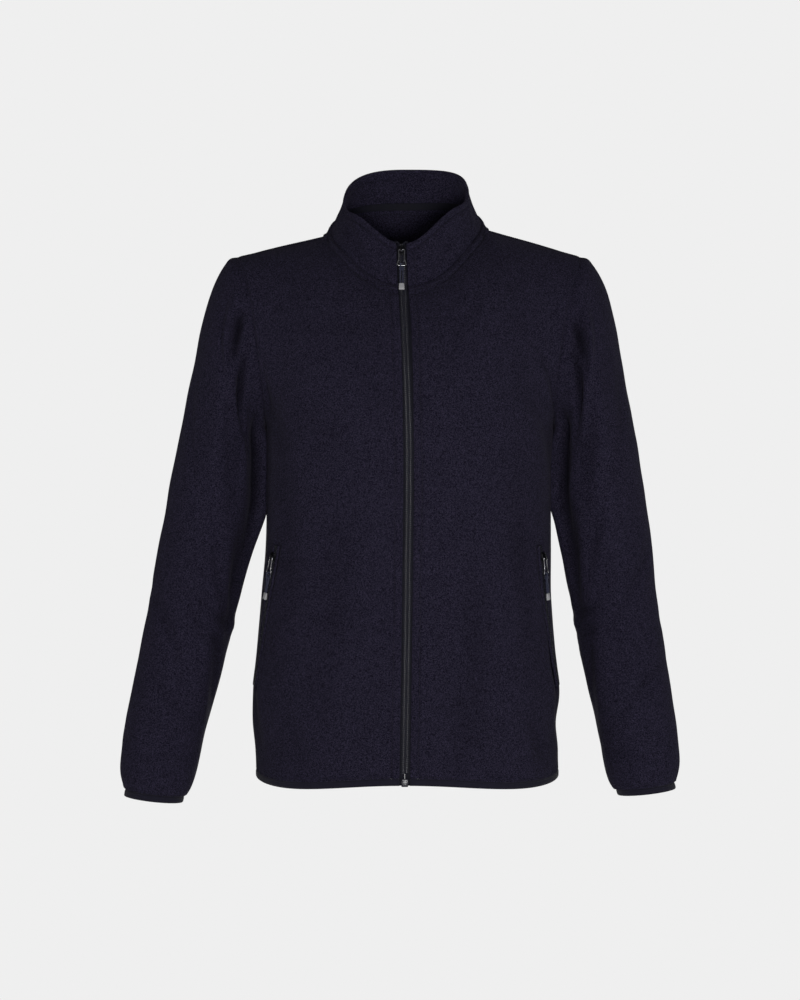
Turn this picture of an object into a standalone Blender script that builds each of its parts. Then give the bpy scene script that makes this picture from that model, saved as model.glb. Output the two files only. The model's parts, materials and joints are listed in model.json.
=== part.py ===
"""A women's fleece jacket with a stand collar and a full front zip, filled out as if worn.

The frame is metres, +Z up, with the front facing -Y and the wearer's left at +X. The origin is
the middle of the neck opening, level with the highest points of the shoulders.

The cloth is a 2 mm wall. Each piece is worked out as a grid of points on the jacket's outer face.
Neighbouring pieces share the points on their seam, so that their walls meet with one mitre, and
each is then drawn back from the seam by half of the seam gap.
"""

import math
from collections import namedtuple

import bmesh
import bpy
import numpy as np
from mathutils import Matrix, Vector

MM = 0.001

# Cloth
CLOTH = 2.0 * MM
COLLAR_CLOTH = 3.2 * MM
SEAM_GAP = 0.5 * MM
MITRE_LIMIT = 1.4
SHARP_ANGLE = math.radians(50)

# Torso; the wearer's left side stands a little further out than the right
BodySection = namedtuple("BodySection", "height half_width front back left_more")
BODY = [
    BodySection(-634 * MM, 174 * MM, 123 * MM, 124 * MM, 3 * MM),
    BodySection(-600 * MM, 176 * MM, 124 * MM, 124 * MM, 1.5 * MM),
    BodySection(-572 * MM, 179 * MM, 124 * MM, 122 * MM, -4 * MM),
    BodySection(-541 * MM, 179 * MM, 123 * MM, 119 * MM, 0),
    BodySection(-482 * MM, 174 * MM, 120 * MM, 111 * MM, 0),
    BodySection(-424 * MM, 169 * MM, 117 * MM, 102 * MM, 0.5 * MM),
    BodySection(-365 * MM, 164 * MM, 117 * MM, 97 * MM, 5.5 * MM),
    BodySection(-330 * MM, 163 * MM, 119 * MM, 97 * MM, 6 * MM),
    BodySection(-280 * MM, 163 * MM, 125 * MM, 103 * MM, 7 * MM),
    BodySection(-225 * MM, 163 * MM, 130 * MM, 111 * MM, 8 * MM),
    BodySection(-190 * MM, 163 * MM, 130 * MM, 114 * MM, 8 * MM),
]
BODY_SQUARENESS = 2.4
HEM = -625 * MM
HEM_DIP = 6.5 * MM
HEM_DIP_SPREAD = 1.5
UNDERARM = -225 * MM
HEM_ROWS = 14
CHEST_ROWS = 10

# Neck seam and collar rim, both ovals seen from above that rise from the front to the back
SEAM_ANGLE = math.radians(86.6)
Oval = namedtuple(
    "Oval", "half_width front back front_height back_height side_lift left_lift squareness"
)
NECK = Oval(88 * MM, 78 * MM, 58 * MM, -69 * MM, 32 * MM, 18.5 * MM, 7.5 * MM, 1.0)
RIM = Oval(72.5 * MM, 62 * MM, 50 * MM, -18 * MM, 81 * MM, 7 * MM, 11 * MM, 0.8)

# Both draw into a V at the front: the greatest lift, the angle where it ends and its lean
Vee = namedtuple("Vee", "lift end lean")
NECK_VEE = Vee(8 * MM, SEAM_ANGLE, 1.5)
RIM_VEE = {
    -1: Vee(16 * MM, math.radians(84), 0.95),
    1: Vee(20 * MM, math.radians(85), 0.83),
}
COLLAR_BULGE = 1.0 * MM
COLLAR_SIDE_HOLLOW = 3.0 * MM
COLLAR_FADE = math.radians(70)
COLLAR_ROWS = 5
FRONT_NECK_COLUMNS = 6
BACK_NECK_COLUMNS = 5
SHOULDER_COLUMNS = 6
FRONT_NECK_SHARE = 0.5
BACK_NECK_SHARE = 0.42

# Shoulder and armhole
SHOULDER_POINT = np.array([197, -2, -28]) * MM
ARMHOLE_FRONT = 66 * MM
ARMHOLE_BACK = 66 * MM
ARMHOLE_PULL = 3
ArmholeWidth = namedtuple("ArmholeWidth", "height front back left_more")
ARMHOLE = [
    ArmholeWidth(-225 * MM, 163 * MM, 163 * MM, 8 * MM),
    ArmholeWidth(-190 * MM, 165 * MM, 163 * MM, 6.5 * MM),
    ArmholeWidth(-150 * MM, 169.5 * MM, 167 * MM, 7 * MM),
    ArmholeWidth(-101 * MM, 176 * MM, 174 * MM, 8 * MM),
    ArmholeWidth(-60 * MM, 184.5 * MM, 184 * MM, 9 * MM),
    ArmholeWidth(-28 * MM, 197 * MM, 197 * MM, 7 * MM),
]
TurnAngles = namedtuple("TurnAngles", "centre neck shoulder")
FRONT_TURN = TurnAngles(45, 74, 82)
BACK_TURN = TurnAngles(62, 94, 94)
FRONT_FULLNESS = 1.25
BACK_FULLNESS = 1.5

# Sleeves: the ends of each ring's width, from the armhole to the cuff, and how much further
# out the two ends are on the wearer's left
Ring = namedtuple(
    "Ring", "outer_x outer_z inner_x inner_z half_depth middle_y scoop left_outer left_inner"
)
SLEEVE = [
    Ring(197 * MM, -28 * MM, 163 * MM, -225 * MM, 66 * MM, 0, 1, 7 * MM, 8 * MM),
    Ring(209 * MM, -34 * MM, 166.8 * MM, -229 * MM, 67 * MM, 0, 0.45, 7 * MM, 8 * MM),
    Ring(221 * MM, -53 * MM, 167 * MM, -233 * MM, 67.5 * MM, 0, 0.3, 8 * MM, 8 * MM),
    Ring(231 * MM, -80 * MM, 166.2 * MM, -237 * MM, 67.5 * MM, 0, 0.1, 7.5 * MM, 8 * MM),
    Ring(240 * MM, -115 * MM, 165.3 * MM, -242 * MM, 66.5 * MM, 0, 0, 6 * MM, 8 * MM),
    Ring(248 * MM, -155 * MM, 164.6 * MM, -249 * MM, 64.5 * MM, 0, 0, 5 * MM, 7.5 * MM),
    Ring(258 * MM, -203 * MM, 163.9 * MM, -260 * MM, 62 * MM, 0, 0, 3.5 * MM, 7.2 * MM),
    Ring(267 * MM, -247 * MM, 163.8 * MM, -281 * MM, 59 * MM, -1 * MM, 0, 2.5 * MM, 7 * MM),
    Ring(275 * MM, -287 * MM, 164.6 * MM, -312 * MM, 55.5 * MM, -2 * MM, 0, 1 * MM, 6.5 * MM),
    Ring(281 * MM, -322 * MM, 172 * MM, -345 * MM, 54 * MM, -4 * MM, 0, 0, 5 * MM),
    Ring(290 * MM, -377 * MM, 185.5 * MM, -399 * MM, 51 * MM, -9 * MM, 0, -2 * MM, 1.5 * MM),
    Ring(298 * MM, -436 * MM, 198 * MM, -457 * MM, 49 * MM, -15 * MM, 0, -3 * MM, 0),
    Ring(308 * MM, -495 * MM, 211 * MM, -515 * MM, 47 * MM, -22 * MM, 0, -3 * MM, 0),
    Ring(318 * MM, -554 * MM, 225 * MM, -573 * MM, 46 * MM, -30 * MM, 0, -3 * MM, 0),
    Ring(324 * MM, -613 * MM, 238 * MM, -631 * MM, 43 * MM, -38 * MM, 0, -2 * MM, 0),
    Ring(320 * MM, -637 * MM, 245 * MM, -648 * MM, 37 * MM, -41 * MM, 0, -1 * MM, 0),
    Ring(316.5 * MM, -642 * MM, 249.5 * MM, -650 * MM, 33 * MM, -41 * MM, 0, -1 * MM, 0),
]
LEFT_SLEEVE_LONGER = -5 * MM
RIGHT_SLEEVE_LONGER = 3 * MM
SLEEVE_STEPS = 24
SLEEVE_CROWDING = 1.15
SWING_START = -340 * MM
SWING_END = -650 * MM
SWING = 7 * MM

# Bindings
BINDING_HEIGHT = 8 * MM
BINDING_PROUD = 0.5 * MM
BINDING_WALL = 3.0 * MM
HEM_COLUMNS = 44

# Front zip
ZipWave = namedtuple("ZipWave", "height offset")
ZIP_WAVE = [
    ZipWave(-634 * MM, -1.8 * MM),
    ZipWave(-400 * MM, 1.5 * MM),
    ZipWave(-250 * MM, 2.5 * MM),
    ZipWave(-73 * MM, -3.5 * MM),
    ZipWave(-18 * MM, -5.5 * MM),
]
ZIP_GAP = 6.0 * MM
COIL_WIDTH = 3.0 * MM
COIL_PROUD = 0.2 * MM
TAPE_WIDTH = 13 * MM
TAPE_THICK = 0.7 * MM
TAPE_CLEAR = 0.8 * MM
CLEAR = 0.3 * MM
ZIP_BODY_ROWS = 26
ZIP_COLLAR_ROWS = 6
ZIP_BOX = Vector((7.5, 4.0, 9.0)) * MM
ZIP_BOX_SINK = 0.5 * MM
ZIP_BOX_BEVEL = 0.8 * MM

# Pocket zips, each on a line from its top to its bottom on a front
PocketEnd = namedtuple("PocketEnd", "height share")
POCKET_TOP = PocketEnd(-364 * MM, 0.685)
POCKET_BOTTOM = PocketEnd(-526 * MM, 0.845)
POCKET_TAPE = 6.5 * MM
POCKET_COIL = 2.6 * MM
POCKET_COIL_THICK = 1.0 * MM
POCKET_CLEAR = 0.5 * MM
POCKET_ROWS = 12

# Sliders and pulls, in a frame with X along the hinge, Z up the zip and -Y out of the cloth
SLIDER_WIDTH = 8.6 * MM
SLIDER_LENGTH = 11 * MM
SLIDER_THICK = 1.5 * MM
SLIDER_TAPER = 0.78
SLIDER_BEVEL = 1.2 * MM
BRIDGE_WIDTH = 2.8 * MM
BRIDGE_LENGTH = 7.5 * MM
BRIDGE_HOLE = 1.15 * MM
BRIDGE_WALL = 0.9 * MM
BRIDGE_BEVEL = 1.0 * MM
HOLE_SEGMENTS = 12

# A bail's wire, from the middle of the hinge down one leg to the middle of its foot
BAIL_WIRE = 0.65 * MM
BAIL_LENGTH = 20 * MM
BailBend = namedtuple("BailBend", "out down")
BAIL = [
    BailBend(0.0, 0.0),
    BailBend(2.2 * MM, 0.0),
    BailBend(2.85 * MM, 0.25 * MM),
    BailBend(3.1 * MM, 0.9 * MM),
    BailBend(3.1 * MM, 9.0 * MM),
    BailBend(3.3 * MM, 13.2 * MM),
    BailBend(4.5 * MM, 16.0 * MM),
    BailBend(5.0 * MM, 18.0 * MM),
    BailBend(4.7 * MM, 19.4 * MM),
    BailBend(4.1 * MM, BAIL_LENGTH),
    BailBend(0.0, BAIL_LENGTH),
]

# The cord loops round the bail's foot; one strand's line, below the foot
CORD_RADIUS = 0.85 * MM
CORD_LENGTH = 22.5 * MM
CORD_WRAP_HALF = 1.05 * MM
CORD_WRAP_STEPS = 8
CordBend = namedtuple("CordBend", "out down lift")
CORD_STRAND = [
    CordBend(1.3 * MM, 4.7 * MM, 0.9 * MM),
    CordBend(1.62 * MM, 12.1 * MM, 0.0),
    CordBend(1.3 * MM, CORD_LENGTH - CLEAR, 0.0),
]
TIP = Vector((6.6, 3.0, 8.0)) * MM
TIP_BEVEL = 0.9 * MM

# Neck tape inside the back of the collar
NECK_TAPE_FROM = 0.02
NECK_TAPE_TO = 0.20
NECK_TAPE_THICK = 0.8 * MM
NECK_TAPE_CLEAR = 0.5 * MM

# Folds: where each is deepest, its reach across and along, its turn and its depth
Fold = namedtuple("Fold", "around along across_reach along_reach turn depth")
SLEEVE_FOLDS = [
    Fold(0.39, 0.26, 0.050, 0.20, 0.2, -9.0 * MM),
    Fold(0.61, 0.28, 0.050, 0.20, -0.2, -7.0 * MM),
    Fold(0.30, 0.20, 0.035, 0.12, 0.5, -5.0 * MM),
    Fold(0.22, 0.30, 0.030, 0.16, 0.3, 3.0 * MM),
    Fold(0.42, 0.56, 0.040, 0.18, 0.9, -4.0 * MM),
    Fold(0.30, 0.63, 0.045, 0.20, -0.7, -3.5 * MM),
    Fold(0.70, 0.28, 0.040, 0.15, -0.4, -4.5 * MM),
    Fold(0.62, 0.60, 0.040, 0.20, 0.8, -4.0 * MM),
    Fold(0.80, 0.80, 0.045, 0.20, -0.3, -2.5 * MM),
    Fold(0.20, 0.84, 0.040, 0.18, 0.3, -2.5 * MM),
]
BODY_FOLDS = [
    Fold(0.78, 0.30, 0.10, 0.22, 0.25, -3.5 * MM),
    Fold(0.55, 0.12, 0.12, 0.16, -0.15, 2.5 * MM),
    Fold(0.70, 0.62, 0.10, 0.12, -0.8, -3.0 * MM),
    Fold(0.30, 0.45, 0.12, 0.20, 0.2, -2.0 * MM),
]

FLEECE = ("fleece", (0.012, 0.0105, 0.021), 0.95, 0.0)
RIB = ("binding", (0.009, 0.008, 0.016), 0.85, 0.0)
TAPE = ("zip_tape", (0.010, 0.010, 0.020), 0.8, 0.0)
COIL = ("zip_coil", (0.020, 0.020, 0.032), 0.45, 0.0)
METAL = ("dark_metal", (0.10, 0.10, 0.11), 0.3, 1.0)
BRIGHT = ("bright_metal", (0.62, 0.62, 0.64), 0.25, 1.0)
CORD = ("puller_cord", (0.030, 0.033, 0.065), 0.7, 0.0)
PLASTIC = ("puller_tip", (0.35, 0.35, 0.36), 0.4, 0.0)


def column(table, name):
    """One named column of a table of rows, as an array."""
    return np.array([getattr(row, name) for row in table])


def smooth_value(at, knots, values):
    """The value at a place on a smooth curve through rising knots."""
    slopes = np.gradient(values, knots)
    i = int(np.clip(np.searchsorted(knots, at) - 1, 0, len(knots) - 2))
    step = knots[i + 1] - knots[i]
    t = min(max((at - knots[i]) / step, 0.0), 1.0)
    start = (2 * t**3 - 3 * t**2 + 1) * values[i] + (t**3 - 2 * t**2 + t) * step * slopes[i]
    end = (-2 * t**3 + 3 * t**2) * values[i + 1] + (t**3 - t**2) * step * slopes[i + 1]
    return start + end


def table_value(table, name, at):
    """A column's value at a height, from a table whose heights rise."""
    return smooth_value(at, column(table, "height"), column(table, name))


def fold_depth(folds, around, along):
    """How far the folds move the cloth out at a place on a piece."""
    total = 0.0
    for fold in folds:
        down = along - fold.along
        lean = down * fold.turn * fold.across_reach / fold.along_reach
        across = (around - fold.around - lean) / fold.across_reach
        total += fold.depth * math.exp(-(across**2) - (down / fold.along_reach) ** 2)
    return total


def oval_point(oval, angle, side):
    """A point on the neck seam or the rim, for x over 0; the angle runs from the front to the back."""
    middle = (oval.back - oval.front) / 2
    reach = (oval.back + oval.front) / 2
    height = (oval.back_height + oval.front_height) / 2
    rise = (oval.back_height - oval.front_height) / 2
    lift = oval.side_lift + (oval.left_lift if side > 0 else 0.0)
    x = oval.half_width * max(0.0, math.sin(angle)) ** oval.squareness
    y = middle - reach * math.cos(angle)
    z = height - rise * math.cos(angle) + lift * math.sin(angle) ** 2
    return np.array([x, y, z])


def vee_lift(vee, angle):
    """How far a V lifts the neck seam or the rim at an angle from the front."""
    return vee.lift * math.sin(math.pi * min(1.0, angle / vee.end) ** vee.lean) ** 2


def neck_point(angle, side):
    """A point on the neck seam, for x over 0."""
    return oval_point(NECK, angle, side) + np.array([0.0, 0.0, vee_lift(NECK_VEE, angle)])


def rim_point(angle, side):
    """A point on the collar's rim, for x over 0."""
    return oval_point(RIM, angle, side) + np.array([0.0, 0.0, vee_lift(RIM_VEE[side], angle)])


def zip_offset(height):
    """How far the front zip wanders to the wearer's left at a height."""
    return table_value(ZIP_WAVE, "offset", height)


def front_edge(height, side):
    """The distance of a front's zip edge from the middle plane."""
    return ZIP_GAP + side * zip_offset(height)


def level_point(height, share, side, face):
    """A point on the torso below the underarm; share runs from the centre to the side seam."""
    half = table_value(BODY, "half_width", height)
    if side > 0:
        half += table_value(BODY, "left_more", height)
    depth = table_value(BODY, face, height)
    inner = front_edge(height, side) if face == "front" else 0.0
    turn = math.sin(share * math.pi / 2) ** (2 / BODY_SQUARENESS)
    x = inner + (half - inner) * turn
    rest = max(0.0, 1 - (x / half) ** BODY_SQUARENESS)
    y = depth * rest ** (1 / BODY_SQUARENESS)
    return np.array([x, -y if face == "front" else y, height])


def hem_height(share):
    """The height of the cloth's lower edge, which dips between the zip and the side seams."""
    return HEM - HEM_DIP * math.sin(math.pi * min(share, 1.0)) ** HEM_DIP_SPREAD


def level_height(share, row):
    """The height of a panel's row below the underarm."""
    low = hem_height(share)
    return low + (UNDERARM - low) * row / HEM_ROWS


def shoulder_point(side):
    """Where the shoulder seam meets the armhole, for x over 0."""
    more = ARMHOLE[-1].left_more if side > 0 else 0.0
    return SHOULDER_POINT + np.array([more, 0.0, 0.0])


def top_point(share, side, face):
    """A point on a panel's upper edge: along the neck seam, then the shoulder seam."""
    neck_share = FRONT_NECK_SHARE if face == "front" else BACK_NECK_SHARE
    if share >= neck_share:
        corner = neck_point(SEAM_ANGLE, side)
        t = (share - neck_share) / (1 - neck_share)
        return corner + (shoulder_point(side) - corner) * t
    start = math.pi if face == "back" else collar_start(side)
    return neck_point(start + (SEAM_ANGLE - start) * share / neck_share, side)


def armhole_point(rise, side, face):
    """A point on the armhole; rise runs from the underarm to the shoulder point."""
    middle = (UNDERARM + SHOULDER_POINT[2]) / 2
    reach = (SHOULDER_POINT[2] - UNDERARM) / 2
    z = middle - reach * math.cos(math.pi * rise)
    x = table_value(ARMHOLE, face, z)
    if side > 0:
        x += table_value(ARMHOLE, "left_more", z)
    swell = math.sin(math.pi * rise)
    y = SHOULDER_POINT[1] * rise
    y += ARMHOLE_BACK * swell if face == "back" else -ARMHOLE_FRONT * swell
    return np.array([x, y, z])


def rising_column(share, rise, side, face):
    """A column that leaves the chest upright and turns in to the panel's upper edge."""
    low = level_point(UNDERARM, share, side, face)
    high = top_point(share, side, face)
    angles = FRONT_TURN if face == "front" else BACK_TURN
    fullness = FRONT_FULLNESS if face == "front" else BACK_FULLNESS
    neck_share = FRONT_NECK_SHARE if face == "front" else BACK_NECK_SHARE
    end = math.radians(np.interp(share, [0, neck_share, 1], angles))
    lift = math.sin(rise * end) / math.sin(end)
    reach = (1 - math.cos(rise * end)) / (1 - math.cos(end))
    reach **= np.interp(share, [0, neck_share], [1, fullness])
    z = low[2] + (high[2] - low[2]) * lift
    y = low[1] + (high[1] - low[1]) * reach
    x = low[0] + (high[0] - low[0]) * rise**2
    return np.array([x, y, z])


def panel_point(share, row, side, face):
    """A point on a front or on half of the back; row counts up from the hem."""
    if row <= HEM_ROWS:
        point = level_point(level_height(share, row), share, side, face)
    else:
        rise = (row - HEM_ROWS) / CHEST_ROWS
        pull = armhole_point(rise, side, face) - rising_column(1.0, rise, side, face)
        point = rising_column(share, rise, side, face) + share**ARMHOLE_PULL * pull
    along = row / (HEM_ROWS + CHEST_ROWS)
    fade = math.sin(math.pi * min(share, 1.0)) * math.sin(math.pi * along)
    fold = fold_depth(BODY_FOLDS, share, along) * fade
    point[1] += fold if face == "back" else -fold
    point[0] *= side
    return point


def sleeve_value(name, step):
    """A sleeve ring's size at a place down the sleeve, counted in rings."""
    return smooth_value(step, np.arange(len(SLEEVE)), column(SLEEVE, name))


def ring_ends(step, side):
    """The outer and the inner end of a sleeve ring's width, each as x and height."""
    longer = LEFT_SLEEVE_LONGER if side > 0 else RIGHT_SLEEVE_LONGER
    drop = longer * (step / (len(SLEEVE) - 1)) ** 2
    ends = []
    for end in ("outer", "inner"):
        x = sleeve_value(end + "_x", step)
        if side > 0:
            x += sleeve_value("left_" + end, step)
        ends.append(np.array([x, sleeve_value(end + "_z", step) - drop]))
    return ends


def sleeve_point(turn, step, side):
    """A point on a sleeve; turn runs once round from the top, by the front and the underarm."""
    face = "front" if turn <= 0.5 else "back"
    rise = abs(1 - 2 * turn)
    seam = armhole_point(rise, side, face)
    if step <= 0:
        return np.array([side * seam[0], seam[1], seam[2]])
    across = math.cos(math.pi * (1 - rise))
    around = math.sin(math.pi * rise) * (1 if face == "back" else -1)
    top, under = ring_ends(0, side)
    flat_x = (top[0] + under[0]) / 2 + (top[0] - under[0]) / 2 * across
    outer, inner = ring_ends(step, side)
    x, z = (outer + inner) / 2 + (outer - inner) / 2 * across
    x += (seam[0] - flat_x) * sleeve_value("scoop", step)
    y = sleeve_value("middle_y", step) + sleeve_value("half_depth", step) * around
    along = step / (len(SLEEVE) - 1)
    fold = fold_depth(SLEEVE_FOLDS, turn, along) * math.sin(math.pi * along)
    swing = np.interp(-z, [-SWING_START, -SWING_END], [0, SWING])
    return np.array([side * (x + fold * across) - swing, y + fold * around, z])


def collar_start(side):
    """The angle at which the neck seam meets the zip edge."""
    return math.asin(front_edge(NECK.front_height, side) / NECK.half_width)


def collar_form(angle, rise, side):
    """A point on the collar's plain form, from the neck seam up to the rim."""
    low = neck_point(angle, side)
    high = rim_point(angle, side)
    out = np.array([math.sin(angle), -math.cos(angle), 0.0])
    bulge = COLLAR_BULGE - COLLAR_SIDE_HOLLOW * math.sin(angle) ** 2
    point = low + (high - low) * rise + out * bulge * math.sin(math.pi * rise)
    return point * (side, 1, 1)


def collar_point(angle, rise, side):
    """A point on the collar, whose front ends follow the zip."""
    start = collar_start(side)
    end = collar_form(start, rise, side)
    shift = side * front_edge(end[2], side) - end[0]
    fade = max(0.0, 1 - abs(angle - start) / COLLAR_FADE) ** 2
    return collar_form(angle, rise, side) + np.array([shift * fade, 0.0, 0.0])


def collar_angles():
    """The angles and sides of the collar's columns, from one zip edge round to the other."""
    columns = []
    for side in (1, -1):
        start = collar_start(side)
        front = np.linspace(start, SEAM_ANGLE, FRONT_NECK_COLUMNS + 1)[:-1]
        back = np.linspace(SEAM_ANGLE, math.pi, BACK_NECK_COLUMNS + 1)
        columns.append([(angle, side) for angle in (*front, *back)])
    return columns[0] + columns[1][-2::-1]


def shares(neck_share, neck_columns):
    """The places of a panel's columns, close to each other along the neck and the shoulder."""
    neck = np.linspace(0, neck_share, neck_columns + 1)
    return np.concatenate([neck, np.linspace(neck_share, 1, SHOULDER_COLUMNS + 1)[1:]])


def front_grid(side):
    """The points of one front, a row for each level from the hem."""
    places = shares(FRONT_NECK_SHARE, FRONT_NECK_COLUMNS)
    rows = range(HEM_ROWS + CHEST_ROWS + 1)
    grid = [[panel_point(place, row, side, "front") for place in places] for row in rows]
    return np.array(grid if side > 0 else [row[::-1] for row in grid])


def back_grid():
    """The points of the back, from the wearer's left side seam round to the right one."""
    places = shares(BACK_NECK_SHARE, BACK_NECK_COLUMNS)
    rows = range(HEM_ROWS + CHEST_ROWS + 1)
    grid = []
    for row in rows:
        left = [panel_point(place, row, 1, "back") for place in places[::-1]]
        grid.append(left + [panel_point(place, row, -1, "back") for place in places[1:]])
    return np.array(grid)


def sleeve_grid(side):
    """The rings of one sleeve from the cuff up to the armhole, counter-clockwise from above."""
    turns = np.linspace(0, 1, 2 * CHEST_ROWS + 1)[:-1]
    if side > 0:
        turns = np.concatenate([[0], turns[:0:-1]])
    steps = np.linspace(0, 1, SLEEVE_STEPS + 1)[::-1] ** SLEEVE_CROWDING * (len(SLEEVE) - 1)
    return np.array([[sleeve_point(turn, step, side) for turn in turns] for step in steps])


def collar_grid():
    """The rows of the collar from the neck seam to the rim."""
    columns = collar_angles()
    rises = np.linspace(0, 1, COLLAR_ROWS + 1)
    return np.array([[collar_point(angle, rise, side) for angle, side in columns] for rise in rises])


def grid_faces(grid, closed):
    """The corners of a grid's triangles, as row and column pairs, split on the short diagonal."""
    rows, columns = grid.shape[:2]
    last = columns if closed else columns - 1
    for r in range(rows - 1):
        for c in range(last):
            a, b = (r, c), (r, (c + 1) % columns)
            d, e = (r + 1, c), (r + 1, (c + 1) % columns)
            if np.linalg.norm(grid[a] - grid[e]) <= np.linalg.norm(grid[b] - grid[d]):
                yield a, b, e
                yield a, e, d
            else:
                yield a, b, d
                yield b, e, d


def mean_normals(grids):
    """The mean of the unit normals round each point, shared where grids have the same point."""
    totals = {}
    for grid, closed in grids:
        for corners in grid_faces(grid, closed):
            a, b, c = (grid[corner] for corner in corners)
            normal = np.cross(b - a, c - a)
            length = np.linalg.norm(normal)
            if length == 0:
                continue
            for point in (a, b, c):
                total = totals.setdefault(tuple(np.round(point, 6)), np.zeros(4))
                total += np.append(normal / length, 1.0)
    return {key: total[:3] / total[3] for key, total in totals.items()}


def drawn_back(grid, closed):
    """The shift of each edge point away from its seam, into its own piece."""
    shift = np.zeros_like(grid)
    half_gap = SEAM_GAP / 2
    for edge, inside in ((0, 1), (-1, -2)):
        away = grid[inside] - grid[edge]
        shift[edge] += half_gap * away / np.linalg.norm(away, axis=1)[:, None]
    if not closed:
        for edge, inside in ((0, 1), (-1, -2)):
            away = grid[:, inside] - grid[:, edge]
            shift[:, edge] += half_gap * away / np.linalg.norm(away, axis=1)[:, None]
    return shift


def inner_grid(grid, normals, thickness):
    """The wall's inner points, thicker along a mitre where two pieces meet at an angle."""
    inner = np.empty_like(grid)
    for place in np.ndindex(grid.shape[:2]):
        normal = normals[tuple(np.round(grid[place], 6))]
        length = max(np.linalg.norm(normal), 1 / MITRE_LIMIT)
        inner[place] = grid[place] - normal / np.linalg.norm(normal) * thickness / length
    return inner


def material(finish):
    """The plain material of a finish, made once."""
    name, colour, roughness, metallic = finish
    found = bpy.data.materials.get(name)
    if found:
        return found
    made = bpy.data.materials.new(name)
    made.use_nodes = True
    shader = made.node_tree.nodes["Principled BSDF"]
    shader.inputs["Base Color"].default_value = (*colour, 1.0)
    shader.inputs["Roughness"].default_value = roughness
    shader.inputs["Metallic"].default_value = metallic
    return made


def new_object(name, data, finish, collection):
    """An object for one sub-part, in the jacket's collection."""
    piece = bpy.data.objects.new(name, data)
    if finish:
        data.materials.append(material(finish))
    collection.objects.link(piece)
    return piece


def mesh_data(name, mesh):
    """A finished mesh, handed over from its editing form."""
    data = bpy.data.meshes.new(name)
    mesh.to_mesh(data)
    mesh.free()
    return data


def wall(name, outer, inner, closed, finish, collection):
    """A closed wall between two grids of the same size."""
    mesh = bmesh.new()
    out = [[mesh.verts.new(point) for point in row] for row in outer]
    back = [[mesh.verts.new(point) for point in row] for row in inner]
    for corners in grid_faces(outer, closed):
        mesh.faces.new([out[r][c] for r, c in corners])
        mesh.faces.new([back[r][c] for r, c in reversed(corners)])
    rims = [(out[0], back[0], False), (out[-1], back[-1], True)]
    if not closed:
        rims.append(([row[0] for row in out], [row[0] for row in back], True))
        rims.append(([row[-1] for row in out], [row[-1] for row in back], False))
    for face, behind, turned in rims:
        last = len(face) if closed else len(face) - 1
        for i in range(last):
            j = (i + 1) % len(face)
            ring = [face[i], behind[i], behind[j], face[j]]
            mesh.faces.new(ring[::-1] if turned else ring)
    bmesh.ops.triangulate(mesh, faces=[f for f in mesh.faces if len(f.verts) > 3])
    data = mesh_data(name, mesh)
    data.shade_smooth()
    data.set_sharp_from_angle(angle=SHARP_ANGLE)
    return new_object(name, data, finish, collection)


def offset_grids(grid, closed, low, high):
    """Two copies of a grid moved out along its own normals, by high and by low."""
    normals = mean_normals([(grid, closed)])
    return inner_grid(grid, normals, -high), inner_grid(grid, normals, -low)


def cloth_pieces(collection):
    """The fronts, the back, the sleeves and the collar."""
    grids = {
        "back": (back_grid(), False),
        "front_left": (front_grid(1), False),
        "front_right": (front_grid(-1), False),
        "sleeve_left": (sleeve_grid(1), True),
        "sleeve_right": (sleeve_grid(-1), True),
        "collar": (collar_grid(), False),
    }
    normals = mean_normals(grids.values())
    for name, (grid, closed) in grids.items():
        thickness = COLLAR_CLOTH if name == "collar" else CLOTH
        inner = inner_grid(grid, normals, thickness)
        shift = drawn_back(grid, closed)
        wall(name, grid + shift, inner + shift, closed, FLEECE, collection)


def hem_binding(collection):
    """The binding round the hem, from one side of the zip to the other."""
    quarter = np.linspace(0, 1, HEM_COLUMNS // 4 + 1)
    places = [(share, 1, "front") for share in quarter]
    places += [(share, 1, "back") for share in quarter[-2::-1]]
    places += [(share, -1, "back") for share in quarter[1:]]
    places += [(share, -1, "front") for share in quarter[-2::-1]]
    rows = []
    for drop in (BINDING_HEIGHT, BINDING_HEIGHT / 2, CLEAR):
        row = []
        for share, side, face in places:
            point = level_point(hem_height(share) - drop, share, side, face)
            row.append(point * (side, 1, 1))
        rows.append(row)
    outer, inner = offset_grids(np.array(rows), False, BINDING_PROUD - BINDING_WALL, BINDING_PROUD)
    wall("hem_binding", outer, inner, False, RIB, collection)


def cuff_binding(side, name, collection):
    """The binding round one cuff, below the last ring of its sleeve."""
    ring = sleeve_grid(side)[0]
    above = sleeve_grid(side)[1]
    down = np.mean(ring, axis=0) - np.mean(above, axis=0)
    down = down / np.linalg.norm(down)
    rows = [ring + down * BINDING_HEIGHT, ring + down * BINDING_HEIGHT / 2, ring + down * CLEAR]
    outer, inner = offset_grids(np.array(rows), True, BINDING_PROUD - BINDING_WALL, BINDING_PROUD)
    wall(name, outer, inner, True, RIB, collection)


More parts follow.
